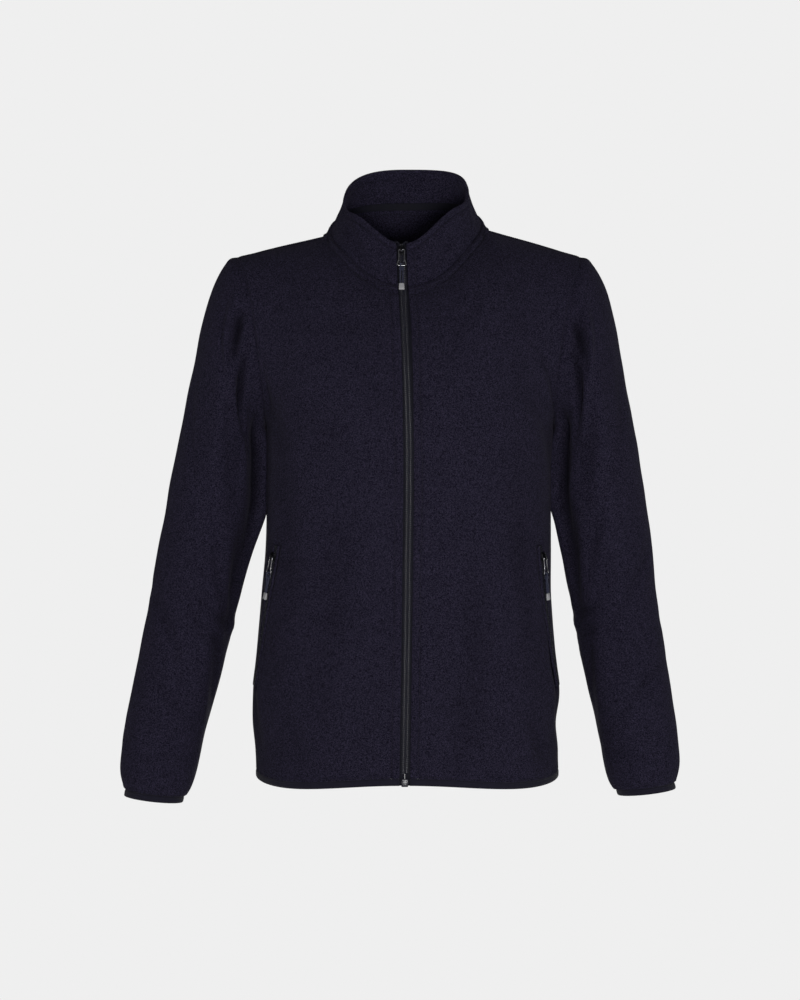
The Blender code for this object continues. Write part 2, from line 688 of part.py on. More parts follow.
def zip_line():
    """Points up the middle of the front zip, from below the hem, with the outward way at each."""
    heights = [HEM - BINDING_HEIGHT, HEM + CLEAR]
    rows = (HEM_ROWS + CHEST_ROWS) * np.arange(1, ZIP_BODY_ROWS + 1) / ZIP_BODY_ROWS
    heights += [level_height(0.0, row) for row in rows if row <= HEM_ROWS]
    points = [np.array([0.0, -table_value(BODY, "front", height), height]) for height in heights]
    rises = [(row - HEM_ROWS) / CHEST_ROWS for row in rows if row > HEM_ROWS]
    points += [rising_column(0.0, rise, 1, "front") for rise in rises]
    rises = np.arange(1, ZIP_COLLAR_ROWS + 1) / ZIP_COLLAR_ROWS
    points += [collar_point(0.0, rise, 1) for rise in rises]
    points = np.array([(zip_offset(point[2]), point[1], point[2]) for point in points])
    out = np.cross([1.0, 0.0, 0.0], np.gradient(points, axis=0))
    return points, out / np.linalg.norm(out, axis=1)[:, None]


def strip(name, points, outs, edges, low, high, finish, collection):
    """A flat strip along the zip; edges gives its two sides' distances in X at each point."""
    grid = np.array([[point + (side, 0, 0) for side in sides] for point, sides in zip(points, edges)])
    lift = outs[:, None, :]
    return wall(name, grid + lift * high, grid + lift * low, False, finish, collection)


def front_zip(collection):
    """The tapes, the two coils and the bottom box of the front zip; returns the zip's line."""
    points, outs = zip_line()
    inner = CLEAR / 2
    behind = -CLOTH - TAPE_CLEAR
    narrow = ZIP_GAP - CLEAR
    widths = [narrow] * 2 + [TAPE_WIDTH] * (ZIP_BODY_ROWS - 1) + [narrow] * (ZIP_COLLAR_ROWS + 1)
    for side, name in ((1, "left"), (-1, "right")):
        edges = [sorted((side * inner, side * width)) for width in widths]
        strip("zip_tape_" + name, points, outs, edges, behind - TAPE_THICK, behind, TAPE, collection)
        edges = [sorted((side * inner, side * COIL_WIDTH))] * (len(points) - 2)
        strip("zip_coil_" + name, points[1:-1], outs[1:-1], edges, -CLOTH, COIL_PROUD, COIL, collection)
    box = bevelled_box("zip_box", ZIP_BOX, ZIP_BOX_BEVEL, METAL, collection)
    box.location = points[1] + (0, ZIP_BOX_SINK, -CLEAR - ZIP_BOX.z / 2)
    return points, outs


def bevelled_box(name, size, width, finish, collection):
    """A box with rounded edges, centred on its object's origin."""
    mesh = bmesh.new()
    bmesh.ops.create_cube(mesh, size=1.0)
    bmesh.ops.scale(mesh, vec=size, verts=mesh.verts)
    piece = new_object(name, mesh_data(name, mesh), finish, collection)
    bevel = piece.modifiers.new("Rounded edges", "BEVEL")
    bevel.width = width
    bevel.segments = 2
    return piece


def wire(name, points, radius, closed, finish, collection):
    """A round wire or cord along a line of points."""
    curve = bpy.data.curves.new(name, "CURVE")
    curve.dimensions = "3D"
    curve.bevel_depth = radius
    curve.bevel_resolution = 2
    curve.use_fill_caps = True
    line = curve.splines.new("POLY")
    line.points.add(len(points) - 1)
    for slot, point in zip(line.points, points):
        slot.co = (*point, 1.0)
    line.use_cyclic_u = closed
    return new_object(name, curve, finish, collection)


def slider_plate():
    """A slider's plate, narrower at its lower end, below the hinge at the origin."""
    mesh = bmesh.new()
    bmesh.ops.create_cube(mesh, size=1.0)
    bmesh.ops.scale(mesh, vec=(SLIDER_WIDTH, SLIDER_THICK, SLIDER_LENGTH), verts=mesh.verts)
    lower = [vert for vert in mesh.verts if vert.co.z < 0]
    bmesh.ops.scale(mesh, vec=(SLIDER_TAPER, 1, 1), verts=lower)
    upright = [e for e in mesh.edges if abs(e.verts[0].co.y - e.verts[1].co.y) > SLIDER_THICK / 2]
    bmesh.ops.bevel(
        mesh, geom=upright, offset=SLIDER_BEVEL, segments=2, affect="EDGES", profile=0.5, material=-1,
    )
    bmesh.ops.translate(mesh, vec=(0, BRIDGE_HOLE + SLIDER_THICK / 2, 0), verts=mesh.verts)
    return mesh_data("slider_plate", mesh)


def bridge_block():
    """The block that holds the hinge on a slider's plate."""
    mesh = bmesh.new()
    bmesh.ops.create_cube(mesh, size=1.0)
    height = 2 * BRIDGE_HOLE + BRIDGE_WALL + SLIDER_THICK / 2
    bmesh.ops.scale(mesh, vec=(BRIDGE_WIDTH, height, BRIDGE_LENGTH), verts=mesh.verts)
    ends = [
        e for e in mesh.edges
        if e.verts[0].co.y < 0 and e.verts[1].co.y < 0 and e.verts[0].co.x != e.verts[1].co.x
    ]
    bmesh.ops.bevel(
        mesh, geom=ends, offset=BRIDGE_BEVEL, segments=2, affect="EDGES", profile=0.5, material=-1,
    )
    bmesh.ops.translate(mesh, vec=(0, height / 2 - BRIDGE_HOLE - BRIDGE_WALL, 0), verts=mesh.verts)
    return mesh_data("bridge_block", mesh)


def bridge_hole():
    """The round hole through a bridge, along the hinge."""
    mesh = bmesh.new()
    bmesh.ops.create_cone(
        mesh, cap_ends=True, segments=HOLE_SEGMENTS, radius1=BRIDGE_HOLE, radius2=BRIDGE_HOLE,
        depth=2 * BRIDGE_WIDTH, matrix=Matrix.Rotation(math.pi / 2, 4, "Y"),
    )
    return mesh_data("bridge_hole", mesh)


def cutter(name, data, place, cutters):
    """A tool for a Boolean, kept out of the jacket's collection."""
    tool = bpy.data.objects.new(name, data)
    tool.hide_render = True
    tool.display_type = "WIRE"
    tool.matrix_world = place
    cutters.objects.link(tool)
    return tool


def bail_points():
    """The closed line of a bail's wire, narrow at the hinge and flared at its foot."""
    left = [Vector((bend.out, 0, -bend.down)) for bend in BAIL]
    right = [Vector((-bend.out, 0, -bend.down)) for bend in BAIL[-2:0:-1]]
    return left + right


def cord_points():
    """The puller cord's line: up one strand, round the bail's foot and down the other."""
    reach = BAIL_WIRE + CLEAR + CORD_RADIUS
    wrap = []
    for i in range(CORD_WRAP_STEPS + 1):
        turn = math.pi * i / CORD_WRAP_STEPS
        x = -CORD_WRAP_HALF * math.cos(turn)
        wrap.append(Vector((x, -math.cos(turn) * reach, math.sin(turn) * reach - BAIL_LENGTH)))
    down = [Vector((bend.out, bend.lift, -BAIL_LENGTH - bend.down)) for bend in CORD_STRAND]
    up = [Vector((-bend.out, -bend.lift, -BAIL_LENGTH - bend.down)) for bend in CORD_STRAND[::-1]]
    return up + wrap + down


def slider_and_pull(name, place, meshes, collection, cutters):
    """A slider that stays in place and the bail, cord and tip that swing from it."""
    plate, block, hole = meshes
    slider = new_object(name + "_slider", plate.copy(), METAL, collection)
    slider.matrix_world = place
    for kind, data, operation in (("bridge", block, "UNION"), ("hole", hole, "DIFFERENCE")):
        tool = cutter(name + "_" + kind, data, place, cutters)
        cut = slider.modifiers.new(kind, "BOOLEAN")
        cut.operation = operation
        cut.object = tool
        cut.solver = "EXACT"
    hinge = bpy.data.objects.new(name + "_hinge", None)
    hinge.matrix_world = place
    collection.objects.link(hinge)
    bail = wire(name + "_bail", bail_points(), BAIL_WIRE, True, BRIGHT, collection)
    cord = wire(name + "_cord", cord_points(), CORD_RADIUS, False, CORD, collection)
    tip = bevelled_box(name + "_tip", TIP, TIP_BEVEL, PLASTIC, collection)
    tip.location = (0, 0, -BAIL_LENGTH - CORD_LENGTH - TIP.z / 2)
    for piece in (bail, cord, tip):
        piece.parent = hinge


def frame_at(point, across, up):
    """A placing with X along the hinge, Z up the zip and Y into the jacket."""
    x = Vector(across).normalized()
    z = Vector(up)
    z = (z - x * z.dot(x)).normalized()
    y = z.cross(x)
    place = Matrix((x, y, z)).transposed().to_4x4()
    place.translation = Vector(point)
    return place


def pocket_line(side):
    """Points down a pocket zip with the outward and the forward direction at each."""
    points = []
    outs = []
    forwards = []
    nudge = 0.01
    for t in np.linspace(0, 1, POCKET_ROWS + 1):
        height = POCKET_BOTTOM.height + (POCKET_TOP.height - POCKET_BOTTOM.height) * t
        share = POCKET_BOTTOM.share + (POCKET_TOP.share - POCKET_BOTTOM.share) * t
        low = hem_height(share)
        row = HEM_ROWS * (height - low) / (UNDERARM - low)
        point = panel_point(share, row, side, "front")
        forward = panel_point(share - nudge, row, side, "front") - point
        up = panel_point(share, row + nudge * HEM_ROWS, side, "front") - point
        out = np.cross(up, forward) * side
        points.append(point)
        outs.append(out / np.linalg.norm(out))
        forwards.append(forward / np.linalg.norm(forward))
    return np.array(points), np.array(outs), np.array(forwards)


def pocket_zip(side, name, collection):
    """A pocket's tape and coil, laid on the front from the front's own points."""
    points, outs, forwards = pocket_line(side)
    lift = outs[:, None, :]
    tape_low = POCKET_CLEAR
    tape_high = tape_low + TAPE_THICK
    coil_low = tape_high + CLEAR
    coil_high = coil_low + POCKET_COIL_THICK
    for kind, half, low, high, finish in (
        ("tape", POCKET_TAPE, tape_low, tape_high, TAPE),
        ("coil", POCKET_COIL, coil_low, coil_high, COIL),
    ):
        edges = [points + forwards * half * side, points, points - forwards * half * side]
        grid = np.stack(edges, axis=1)
        wall(name + "_" + kind, grid + lift * high, grid + lift * low, False, finish, collection)
    up = points[-1] - points[-3]
    pivot = points[-2] + outs[-2] * (coil_high + CLEAR + SLIDER_THICK + BRIDGE_HOLE)
    return frame_at(pivot, np.cross(-outs[-2], up), up)


def neck_tape(collection):
    """The tape inside the back of the collar, just above the neck seam."""
    angles = np.linspace(SEAM_ANGLE, math.pi, BACK_NECK_COLUMNS + 1)[1:]
    columns = [(angle, 1) for angle in angles] + [(angle, -1) for angle in angles[-2::-1]]
    rises = (NECK_TAPE_FROM, NECK_TAPE_TO)
    grid = np.array([[collar_point(angle, rise, side) for angle, side in columns] for rise in rises])
    face = -COLLAR_CLOTH - NECK_TAPE_CLEAR
    outer, inner = offset_grids(grid, False, face - NECK_TAPE_THICK, face)
    wall("neck_tape", outer, inner, False, TAPE, collection)


def main():
    for old in list(bpy.data.objects):
        bpy.data.objects.remove(old, do_unlink=True)
    collection = bpy.data.collections.new("fleece_zip_jacket")
    cutters = bpy.data.collections.new("cutters")
    bpy.context.scene.collection.children.link(collection)
    bpy.context.scene.collection.children.link(cutters)
    cloth_pieces(collection)
    hem_binding(collection)
    cuff_binding(1, "cuff_binding_left", collection)
    cuff_binding(-1, "cuff_binding_right", collection)
    neck_tape(collection)
    points, outs = front_zip(collection)
    meshes = (slider_plate(), bridge_block(), bridge_hole())
    out = COIL_PROUD + CLEAR + SLIDER_THICK + BRIDGE_HOLE
    pivot = points[-2] + outs[-2] * out
    place = frame_at(pivot, (1, 0, 0), points[-1] - points[-3])
    slider_and_pull("front", place, meshes, collection, cutters)
    for side, name in ((1, "pocket_left"), (-1, "pocket_right")):
        place = pocket_zip(side, name, collection)
        slider_and_pull(name, place, meshes, collection, cutters)


main()
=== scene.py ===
"""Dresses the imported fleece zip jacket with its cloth, seams, zips, pulls, stitching and a stage.

The frame is the row's: metres, +Z up, the front faces -Y and the wearer's left is at +X, with the
origin in the middle of the neck opening. Each cloth piece is a grid whose points are placed by the
same form as its solid, moved out or in along its normals for folds and seams, and given a wall.
"""

import json
import math
from collections import namedtuple

import bmesh
import bpy
import numpy as np
from bpy.props import FloatProperty, FloatVectorProperty, PointerProperty
from bpy.types import Operator, Panel, PropertyGroup
from mathutils import Matrix, Vector
from mathutils.bvhtree import BVHTree


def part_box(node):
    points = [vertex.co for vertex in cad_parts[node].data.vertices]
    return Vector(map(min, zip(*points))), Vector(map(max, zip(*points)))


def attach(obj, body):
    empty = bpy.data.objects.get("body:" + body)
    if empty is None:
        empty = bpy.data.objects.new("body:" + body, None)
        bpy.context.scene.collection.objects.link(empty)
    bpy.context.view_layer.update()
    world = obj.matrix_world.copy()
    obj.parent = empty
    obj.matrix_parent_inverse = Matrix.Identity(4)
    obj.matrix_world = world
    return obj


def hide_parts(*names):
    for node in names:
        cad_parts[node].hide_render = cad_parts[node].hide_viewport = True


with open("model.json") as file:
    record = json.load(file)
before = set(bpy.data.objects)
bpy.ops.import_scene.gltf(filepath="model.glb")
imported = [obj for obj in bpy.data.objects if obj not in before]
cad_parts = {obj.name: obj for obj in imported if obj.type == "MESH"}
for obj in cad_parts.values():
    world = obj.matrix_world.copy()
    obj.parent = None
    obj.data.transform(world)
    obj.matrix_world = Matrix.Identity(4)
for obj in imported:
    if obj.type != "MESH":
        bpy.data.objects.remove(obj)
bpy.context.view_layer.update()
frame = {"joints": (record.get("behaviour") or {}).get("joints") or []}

bl_info = {
    "name": "Fleece zip jacket",
    "version": (1, 0, 0),
    "blender": (4, 5, 0),
    "location": "View3D > Sidebar > Jacket",
    "description": "Cloth, zips, stitching and stage of a fleece jacket with a stand collar",
    "category": "Object",
}

MM = 0.001
JACKET = "jacket"
SIDES = (1, -1)


def in_mm(kind, rows, plain=()):
    """Rows of one kind from numbers in millimetres; the plain columns have no unit."""
    scales = [1 if name in plain else MM for name in kind._fields]
    return [kind(*(value * scale for value, scale in zip(row, scales))) for row in rows]


# Torso, as in the solids: half widths and depths by height
BodySection = namedtuple("BodySection", "height half_width front back left_more")
BODY = in_mm(BodySection, [
    (-634, 174, 123, 124, 3),
    (-600, 176, 124, 124, 1.5),
    (-572, 179, 124, 122, -4),
    (-541, 179, 123, 119, 0),
    (-482, 174, 120, 111, 0),
    (-424, 169, 117, 102, 0.5),
    (-365, 164, 117, 97, 5.5),
    (-330, 163, 119, 97, 6),
    (-280, 163, 125, 103, 7),
    (-225, 163, 130, 111, 8),
    (-190, 163, 130, 114, 8),
])
BODY_SQUARENESS = 2.4
HEM = -625 * MM
HEM_DIP = 6.5 * MM
HEM_DIP_SPREAD = 1.5
UNDERARM = -225 * MM
HEM_ROWS = 14
CHEST_ROWS = 10

Oval = namedtuple(
    "Oval", "half_width front back front_height back_height side_lift left_lift squareness"
)
NECK = Oval(88 * MM, 78 * MM, 58 * MM, -69 * MM, 32 * MM, 18.5 * MM, 7.5 * MM, 1.0)
RIM = Oval(72.5 * MM, 62 * MM, 50 * MM, -18 * MM, 81 * MM, 7 * MM, 11 * MM, 0.8)
SEAM_ANGLE = math.radians(86.6)
Vee = namedtuple("Vee", "lift end lean")
NECK_VEE = Vee(8 * MM, SEAM_ANGLE, 1.5)
RIM_VEE = {
    -1: Vee(16 * MM, math.radians(84), 0.95),
    1: Vee(20 * MM, math.radians(85), 0.83),
}
COLLAR_BULGE = 1.0 * MM
COLLAR_SIDE_HOLLOW = 3.0 * MM
COLLAR_FADE = math.radians(70)
FRONT_NECK_SHARE = 0.5
BACK_NECK_SHARE = 0.42

SHOULDER_POINT = np.array([197, -2, -28]) * MM
ARMHOLE_FRONT = 66 * MM
ARMHOLE_BACK = 66 * MM
ARMHOLE_PULL = 3
ArmholeWidth = namedtuple("ArmholeWidth", "height front back left_more")
ARMHOLE = in_mm(ArmholeWidth, [
    (-225, 163, 163, 8),
    (-190, 165, 163, 6.5),
    (-150, 169.5, 167, 7),
    (-101, 176, 174, 8),
    (-60, 184.5, 184, 9),
    (-28, 197, 197, 7),
])
TurnAngles = namedtuple("TurnAngles", "centre neck shoulder")
FRONT_TURN = TurnAngles(45, 74, 82)
BACK_TURN = TurnAngles(62, 94, 94)
FRONT_FULLNESS = 1.25
BACK_FULLNESS = 1.5

Ring = namedtuple(
    "Ring", "outer_x outer_z inner_x inner_z half_depth middle_y scoop left_outer left_inner"
)
SLEEVE = in_mm(Ring, plain=["scoop"], rows=[
    (197, -28, 163, -225, 66, 0, 1, 7, 8),
    (209, -34, 166.8, -229, 67, 0, 0.45, 7, 8),
    (221, -53, 167, -233, 67.5, 0, 0.3, 8, 8),
    (231, -80, 166.2, -237, 67.5, 0, 0.1, 7.5, 8),
    (240, -115, 165.3, -242, 66.5, 0, 0, 6, 8),
    (248, -155, 164.6, -249, 64.5, 0, 0, 5, 7.5),
    (258, -203, 163.9, -260, 62, 0, 0, 3.5, 7.2),
    (267, -247, 163.8, -281, 59, -1, 0, 2.5, 7),
    (275, -287, 164.6, -312, 55.5, -2, 0, 1, 6.5),
    (281, -322, 172, -345, 54, -4, 0, 0, 5),
    (290, -377, 185.5, -399, 51, -9, 0, -2, 1.5),
    (298, -436, 198, -457, 49, -15, 0, -3, 0),
    (308, -495, 211, -515, 47, -22, 0, -3, 0),
    (318, -554, 225, -573, 46, -30, 0, -3, 0),
    (324, -613, 238, -631, 43, -38, 0, -2, 0),
    (320, -637, 245, -648, 37, -41, 0, -1, 0),
    (316.5, -642, 249.5, -650, 33, -41, 0, -1, 0),
])
LEFT_SLEEVE_LONGER = -5 * MM
RIGHT_SLEEVE_LONGER = 3 * MM
SLEEVE_CROWDING = 1.15
SWING_START = -340 * MM
SWING_END = -650 * MM
SWING = 7 * MM

ZipWave = namedtuple("ZipWave", "height offset")
ZIP_WAVE = in_mm(ZipWave, [
    (-634, -1.8),
    (-400, 1.5),
    (-250, 2.5),
    (-73, -3.5),
    (-18, -5.5),
])
ZIP_GAP = 6.0 * MM
TAPE_WIDTH = 13 * MM
TAPE_DEPTH = 2.8 * MM
TAPE_THICK = 0.7 * MM
TapeBend = namedtuple("TapeBend", "across up lift")
TAPE_END = [
    TapeBend(2.2, -3.0, 0.2),
    TapeBend(3.2, 0.0, 0.7),
    TapeBend(5.4, 1.6, 1.0),
    TapeBend(6.9, 0.6, 0.6),
    TapeBend(7.2, -1.2, 0.0),
]
STOP = Vector((2.6, 1.9, 3.4)) * MM
STOP_APART = 1.9 * MM
CORE_APART = 1.9 * MM
CORE_DEPTH = 2.1 * MM

# A turn of a coil: its reach, its place and its step as shares of the chain's half width and of
# the pitch, and its thickness
TURN_REACH = 0.56
TURN_PLACE = 0.48
TURN_STEP = 0.25
TURN_FILL = 0.62
TURN_ROUNDING = 0.45
TURN_THICK = 0.55 * MM
COIL_HALF = 4.3 * MM
BINDING_HEIGHT = 8 * MM
BINDING_SIDES = 14

PocketEnd = namedtuple("PocketEnd", "height share")
POCKET_TOP = PocketEnd(-364 * MM, 0.685)
POCKET_BOTTOM = PocketEnd(-526 * MM, 0.845)
POCKET_STATIONS = 60
POCKET_TAPE_HALF = 6.2
POCKET_TAPE_LIFT = 0.9 * MM
Lip = namedtuple("Lip", "sign name half lift row")
LIPS = (Lip(1, "front", 2.3, 1.0, 9.2), Lip(-1, "rear", 2.1, 0.7, 8.8))
LIP_GAP = 2.9
LIP_LEAN = 0.18
LIP_HALF_THICK = 1.2 * MM
UNDERARM_FULLNESS = 5.0 * MM
SEAM_FORWARD = 11 * MM
POCKET_LIFT = 2.5 * MM

# Folds of the solids: where each is deepest, its reach across and along, its turn and its depth
# in millimetres
Fold = namedtuple("Fold", "around along across_reach along_reach turn depth")
SLEEVE_FOLDS = [
    (0.39, 0.26, 0.050, 0.20, 0.2, -9.0),
    (0.61, 0.28, 0.050, 0.20, -0.2, -7.0),
    (0.30, 0.20, 0.035, 0.12, 0.5, -5.0),
    (0.22, 0.30, 0.030, 0.16, 0.3, 3.0),
    (0.42, 0.56, 0.040, 0.18, 0.9, -4.0),
    (0.30, 0.63, 0.045, 0.20, -0.7, -3.5),
    (0.70, 0.28, 0.040, 0.15, -0.4, -4.5),
    (0.62, 0.60, 0.040, 0.20, 0.8, -4.0),
    (0.80, 0.80, 0.045, 0.20, -0.3, -2.5),
    (0.20, 0.84, 0.040, 0.18, 0.3, -2.5),
]
BODY_FOLDS = [
    (0.78, 0.30, 0.10, 0.22, 0.25, -3.5),
    (0.55, 0.12, 0.12, 0.16, -0.15, 2.5),
    (0.70, 0.62, 0.10, 0.12, -0.8, -3.0),
    (0.30, 0.45, 0.12, 0.20, 0.2, -2.0),
]

# Finer creases, by place on the piece (0 to 1), half length and half width in millimetres, the
# angle from the direction round the piece in degrees, the bow, and the depth in millimetres; a
# crease has a soft ridge beside its trough
Crease = namedtuple("Crease", "around along length width angle bow depth")
SLEEVE_CREASES = {
    -1: [
        (0.71, 0.040, 28, 10, 48, 0.10, -9.0),
        (0.69, 0.080, 30, 6, 46, 0.10, 3.6),
        (0.80, 0.075, 34, 9, 64, 0.10, -7.0),
        (0.93, 0.13, 88, 10, -92, 0.00, -11.0),
        (0.85, 0.17, 66, 7, 86, 0.02, 2.6),
        (0.79, 0.25, 52, 9, 80, 0.05, -2.4),
        (0.90, 0.40, 60, 12, 78, 0.04, -5.0),
        (0.83, 0.47, 44, 8, 60, 0.10, -2.6),
        (0.91, 0.545, 34, 8, -24, 0.20, -3.2),
        (0.88, 0.60, 34, 7, -12, 0.15, -2.2),
        (0.92, 0.66, 56, 11, 74, 0.05, -2.6),
        (0.62, 0.30, 40, 9, 70, 0.06, -1.6),
        (0.66, 0.66, 42, 9, 34, -0.15, -2.0),
        (0.76, 0.79, 38, 8, 22, 0.10, -1.8),
        (0.86, 0.90, 28, 7, -24, 0.10, -1.8),
        (0.60, 0.91, 24, 6, 30, 0.10, -1.3),
        (0.27, 0.05, 34, 11, -50, 0.15, -5.0),
        (0.20, 0.11, 40, 9, -66, 0.10, -3.4),
        (0.09, 0.17, 74, 12, -86, 0.02, -4.6),
        (0.32, 0.28, 36, 8, -64, 0.10, -2.2),
        (0.14, 0.52, 36, 8, 16, -0.20, -2.8),
        (0.12, 0.59, 30, 7, 30, 0.20, -2.3),
        (0.30, 0.70, 40, 9, -30, 0.15, -2.0),
        (0.20, 0.86, 30, 8, 14, 0.10, -1.7),
    ],
    1: [
        (0.27, 0.040, 30, 11, -52, -0.10, -10.0),
        (0.29, 0.075, 30, 7, -48, -0.10, 2.6),
        (0.20, 0.080, 36, 9, -64, -0.10, -7.0),
        (0.08, 0.14, 88, 10, 92, 0.00, -10.0),
        (0.15, 0.19, 60, 8, -84, -0.02, 2.2),
        (0.21, 0.27, 56, 10, -78, -0.05, -2.6),
        (0.10, 0.39, 56, 11, -80, -0.04, -4.2),
        (0.18, 0.44, 40, 8, -58, -0.10, -2.4),
        (0.09, 0.53, 36, 8, 22, -0.20, -3.0),
        (0.12, 0.585, 36, 7, 30, -0.25, -2.4),
        (0.08, 0.66, 54, 11, -72, -0.05, -2.8),
        (0.36, 0.58, 44, 10, -36, 0.15, -1.9),
        (0.38, 0.27, 44, 10, -72, -0.06, -1.5),
        (0.27, 0.79, 40, 8, -20, -0.10, -2.0),
        (0.14, 0.90, 26, 7, 26, -0.10, -1.8),
        (0.73, 0.05, 36, 11, 50, -0.15, -5.2),
        (0.80, 0.10, 38, 9, 64, -0.10, -3.2),
        (0.91, 0.18, 70, 12, 84, -0.02, -4.4),
        (0.68, 0.31, 38, 8, 62, -0.10, -2.2),
        (0.87, 0.53, 34, 8, -20, 0.20, -2.6),
        (0.84, 0.62, 30, 7, -32, -0.20, -2.2),
        (0.66, 0.72, 42, 9, 28, -0.15, -1.9),
        (0.82, 0.87, 28, 8, -12, -0.10, -1.6),
    ],
}
FRONT_CREASES = {
    -1: [
        (0.90, 0.70, 48, 10, 62, 0.12, -2.6),
        (0.76, 0.64, 56, 13, 48, 0.10, -2.2),
        (0.62, 0.42, 90, 17, 84, 0.05, -1.9),
        (0.34, 0.30, 110, 20, 94, 0.04, -1.6),
        (0.86, 0.14, 60, 12, 76, -0.08, -2.2),
        (0.50, 0.07, 46, 12, 68, 0.10, -1.7),
        (0.18, 0.14, 60, 14, 88, 0.05, -1.2),
        (0.30, 0.86, 40, 12, -34, 0.10, -1.4),
        (0.08, 0.60, 60, 9, 86, 0.03, -0.9),
    ],
    1: [
        (0.91, 0.69, 50, 10, 118, -0.12, -2.6),
        (0.78, 0.60, 60, 14, 130, -0.10, -2.1),
        (0.58, 0.36, 95, 18, 96, -0.05, -2.0),
        (0.30, 0.24, 100, 18, 86, -0.04, -1.5),
        (0.84, 0.155, 46, 10, 104, 0.10, -3.2),
        (0.66, 0.06, 44, 12, 112, -0.10, -2.0),
        (0.22, 0.10, 52, 13, 92, 0.05, -1.3),
        (0.34, 0.87, 44, 12, 214, -0.10, -1.3),
        (0.09, 0.42, 70, 9, 92, -0.03, -0.9),
    ],
}
BACK_CREASES = [
    (0.10, 0.69, 50, 10, 118, 0.12, -2.8),
    (0.90, 0.70, 52, 11, 62, -0.12, -2.7),
    (0.24, 0.60, 64, 15, 126, 0.10, -2.2),
    (0.77, 0.58, 60, 14, 54, -0.10, -2.3),
    (0.36, 0.34, 120, 20, 96, 0.05, -2.6),
    (0.62, 0.30, 130, 22, 86, -0.05, -2.4),
    (0.50, 0.46, 70, 16, 90, 0.03, -1.6),
    (0.16, 0.30, 80, 14, 82, 0.08, -2.1),
    (0.85, 0.27, 76, 13, 98, -0.08, -2.2),
    (0.30, 0.09, 54, 14, 100, 0.10, -2.0),
    (0.56, 0.07, 48, 13, 84, -0.10, -1.8),
    (0.78, 0.08, 50, 14, 76, 0.10, -1.9),
    (0.42, 0.84, 50, 14, 20, 0.15, -1.3),
    (0.63, 0.80, 46, 13, 158, -0.15, -1.2),
]
COLLAR_CREASES = [
    (0.10, 0.42, 38, 7, 34, 0.30, -2.6),
    (0.88, 0.42, 40, 7, 150, -0.30, -4.0),
    (0.26, 0.62, 30, 8, 78, 0.10, -1.2),
    (0.52, 0.50, 40, 10, 12, 0.10, -1.0),
    (0.74, 0.60, 30, 8, 100, -0.10, -1.2),
]

# Furrows and ridges along the edges, in millimetres: the rise, how far from the edge, the reach
Furrow = namedtuple("Furrow", "rise away reach")
BAND_FURROW = Furrow(-1.3, 1.2, 2.0)
SHOULDER_FURROW = Furrow(-0.9, 0, 1.7)
SHOULDER_RIDGE = Furrow(0.5, -4, 2.6)
ZIP_FURROW = Furrow(-0.9, 9, 1.5)
ZIP_EDGE = Furrow(-0.5, 0, 1.8)
POCKET_RECESS = Furrow(-2.2, 0, 5.5)
POCKET_RIDGE = Furrow(0.6, 10, 4)
CROWN_RIDGE = Furrow(1.2, 9, 6)
COLLAR_SEAM = Furrow(-0.8, 0, 2.2)
COLLAR_FURROW = Furrow(-1.5, 8, 1.7)
COLLAR_RIDGE = Furrow(0.6, 3.5, 2.6)
COLLAR_END_FURROW = Furrow(-0.9, 9, 1.6)

# How far a seam's dip reaches, and its share of the full dip
SEAM_REACH = 2.6 * MM
NECK_SEAM_REACH = 2.4 * MM
NECK_SEAM_SHARE = 0.8
SLEEVE_SEAM_REACH = 2.2 * MM
SLEEVE_SEAM_SHARE = 0.45
NECK_FADE = 0.06
CROWN_REACH = 0.22
UNDERARM_REACH = 0.07
CUFF_PUCKER_SHARE = 0.3

# The neck band's profile: the share of its width, and how far it lies off the cloth in millimetres
BAND_PROFILE = [
    (0.0, 0.2), (0.05, 1.3), (0.11, 2.1), (0.20, 2.4), (0.40, 2.2), (0.60, 2.2), (0.80, 2.4),
    (0.90, 2.1), (0.96, 1.3), (1.0, 0.2),
]
NECK_TAPE_HALF = 0.245

# Rows of topstitches: their places as a share of the band's width, or in millimetres from a seam
BAND_ROWS = (0.24, 0.80)
SHOULDER_ROWS = (1.6, 7.4)
ZIP_ROW = 9 * MM
HEM_ROW = 2.2 * MM
COLLAR_ROW = 0.84

# How near a piece's edges its creases fade
EDGE_CALM = 16 * MM
SLEEVE_CALM = 14 * MM
COLLAR_CALM = 9 * MM

# Each grid's nominal length one way, and how far from its ends the finer spacing reaches
Span = namedtuple("Span", "length low high")
FRONT_ACROSS, FRONT_UP = in_mm(Span, [(250, 15, 6), (600, 8, 16)])
BACK_ACROSS, BACK_UP = in_mm(Span, [(480, 6, 6), (650, 8, 10)])
SLEEVE_ROUND, SLEEVE_DOWN = in_mm(Span, [(400, 4, 4), (650, 10, 10)])
COLLAR_ROUND, COLLAR_UP = in_mm(Span, [(470, 14, 14), (60, 30, 30)])

# Sliders and pulls, in a frame with X along the hinge, Z up the zip and -Y out of the cloth
SLIDER_THICK = 1.5 * MM
SLIDER_WIDTH = 8.6 * MM
SLIDER_LENGTH = 11 * MM
SLIDER_FOOT_SHARE = 0.72
BRIDGE_HOLE = 1.15 * MM
CLEAR = 0.3 * MM
BAIL_WIRE = 0.65 * MM
SLIDER_RIB = Vector((0.9, 1.5, 6.4)) * MM
SLIDER_RIB_LEAN = math.radians(9)
RIM_FACE_ANGLE = 0.9
BailBend = namedtuple("BailBend", "out down")
BAIL = in_mm(BailBend, [
    (0.0, 0.0), (2.2, 0.0), (2.85, 0.25), (3.1, 0.9), (3.1, 9.0), (3.3, 13.2), (4.5, 16.0),
    (5.0, 18.0), (4.7, 19.4), (4.1, 20), (0.0, 20),
])
BAIL_LENGTH = BAIL[-1].down
CORD_LENGTH = 22.5 * MM
CORD_RADIUS = 0.85 * MM
CORD_KNOT_RADIUS = 0.62 * MM
